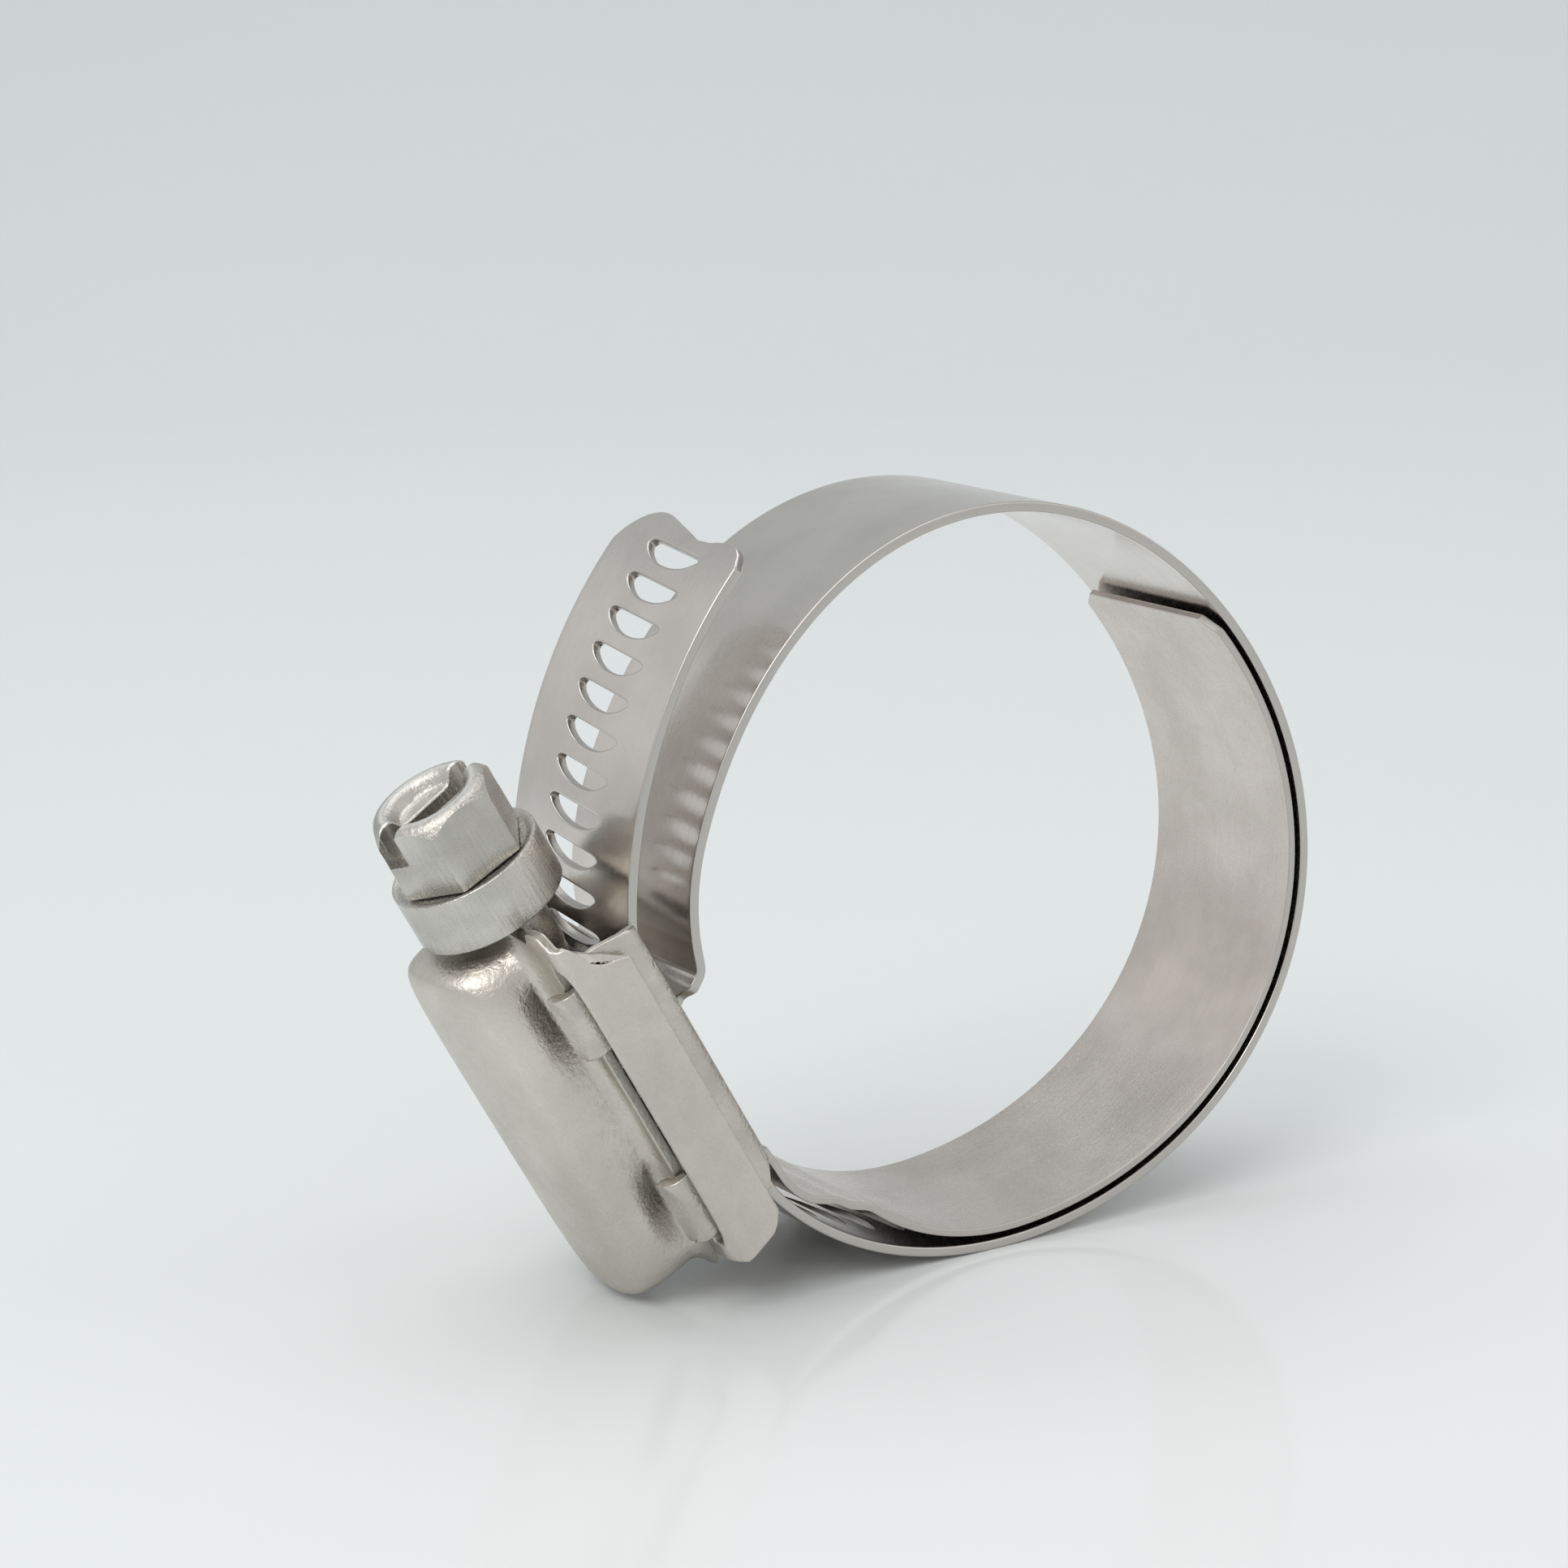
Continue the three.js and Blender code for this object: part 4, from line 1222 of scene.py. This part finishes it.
def add_area(name, position, target, size, power, colour):
    """Rectangular lamp at position that shines at target."""
    light = bpy.data.lights.new(name, "AREA")
    light.shape = "RECTANGLE"
    light.size, light.size_y = size
    light.energy = power
    light.color = colour
    obj = bpy.data.objects.new(name, light)
    direction = np.array(position) - np.array(target)
    direction = direction / np.linalg.norm(direction)
    side = np.cross([0, 0, 1.0], direction)
    side = side / np.linalg.norm(side)
    up = np.cross(direction, side)
    turn = Matrix((side, up, direction)).transposed().to_4x4()
    obj.matrix_world = Matrix.Translation(position) @ turn
    bpy.context.scene.collection.objects.link(obj)


def make_light():
    world = bpy.data.worlds.new("studio")
    bpy.context.scene.world = world
    world.use_nodes = True
    world.node_tree.nodes["Background"].inputs["Color"].default_value = (0.95, 0.96, 0.96, 1)
    world.node_tree.nodes["Background"].inputs["Strength"].default_value = 0.76
    target = (0.0, 0.0, 0.03)
    add_area("key", (-0.55, -0.25, 0.65), target, (0.5, 0.4), 2.2, (1.0, 0.98, 0.95))
    add_area("fill", (0.6, -0.5, 0.45), target, (0.6, 0.6), 0.6, (1.0, 0.96, 0.92))
    add_area("top", (0.0, 0.25, 0.9), target, (0.9, 0.7), 2.4, (1.0, 1.0, 1.0))


def make_camera():
    data = bpy.data.cameras.new("camera")
    data.lens = 86.1
    data.sensor_width = 36.0
    camera = bpy.data.objects.new("camera", data)
    azimuth, elevation, roll = (math.radians(v) for v in (-32.22, 12.97, -0.95))
    turn = Matrix.Rotation(azimuth, 4, "Z") @ Matrix.Rotation(math.pi / 2 - elevation, 4, "X")
    turn = turn @ Matrix.Rotation(roll, 4, "Z")
    camera.matrix_world = Matrix.Translation((-0.13770, -0.21117, 0.09117)) @ turn
    bpy.context.scene.collection.objects.link(camera)
    bpy.context.scene.camera = camera


# ---------------------------------------------------------------- assembly
def paint(objects, material):
    for obj in objects:
        obj.data.materials.clear()
        obj.data.materials.append(material)


def build():
    materials = make_materials()
    paint(make_band(), materials["band"])
    paint(make_liner(), materials["liner"])
    paint([make_housing()], materials["housing"])
    paint([make_saddle()], materials["saddle"])
    paint([make_screw()], materials["screw"])
    make_floor()
    make_light()
    make_camera()
    bpy.context.scene.view_settings.view_transform = "Standard"


build()
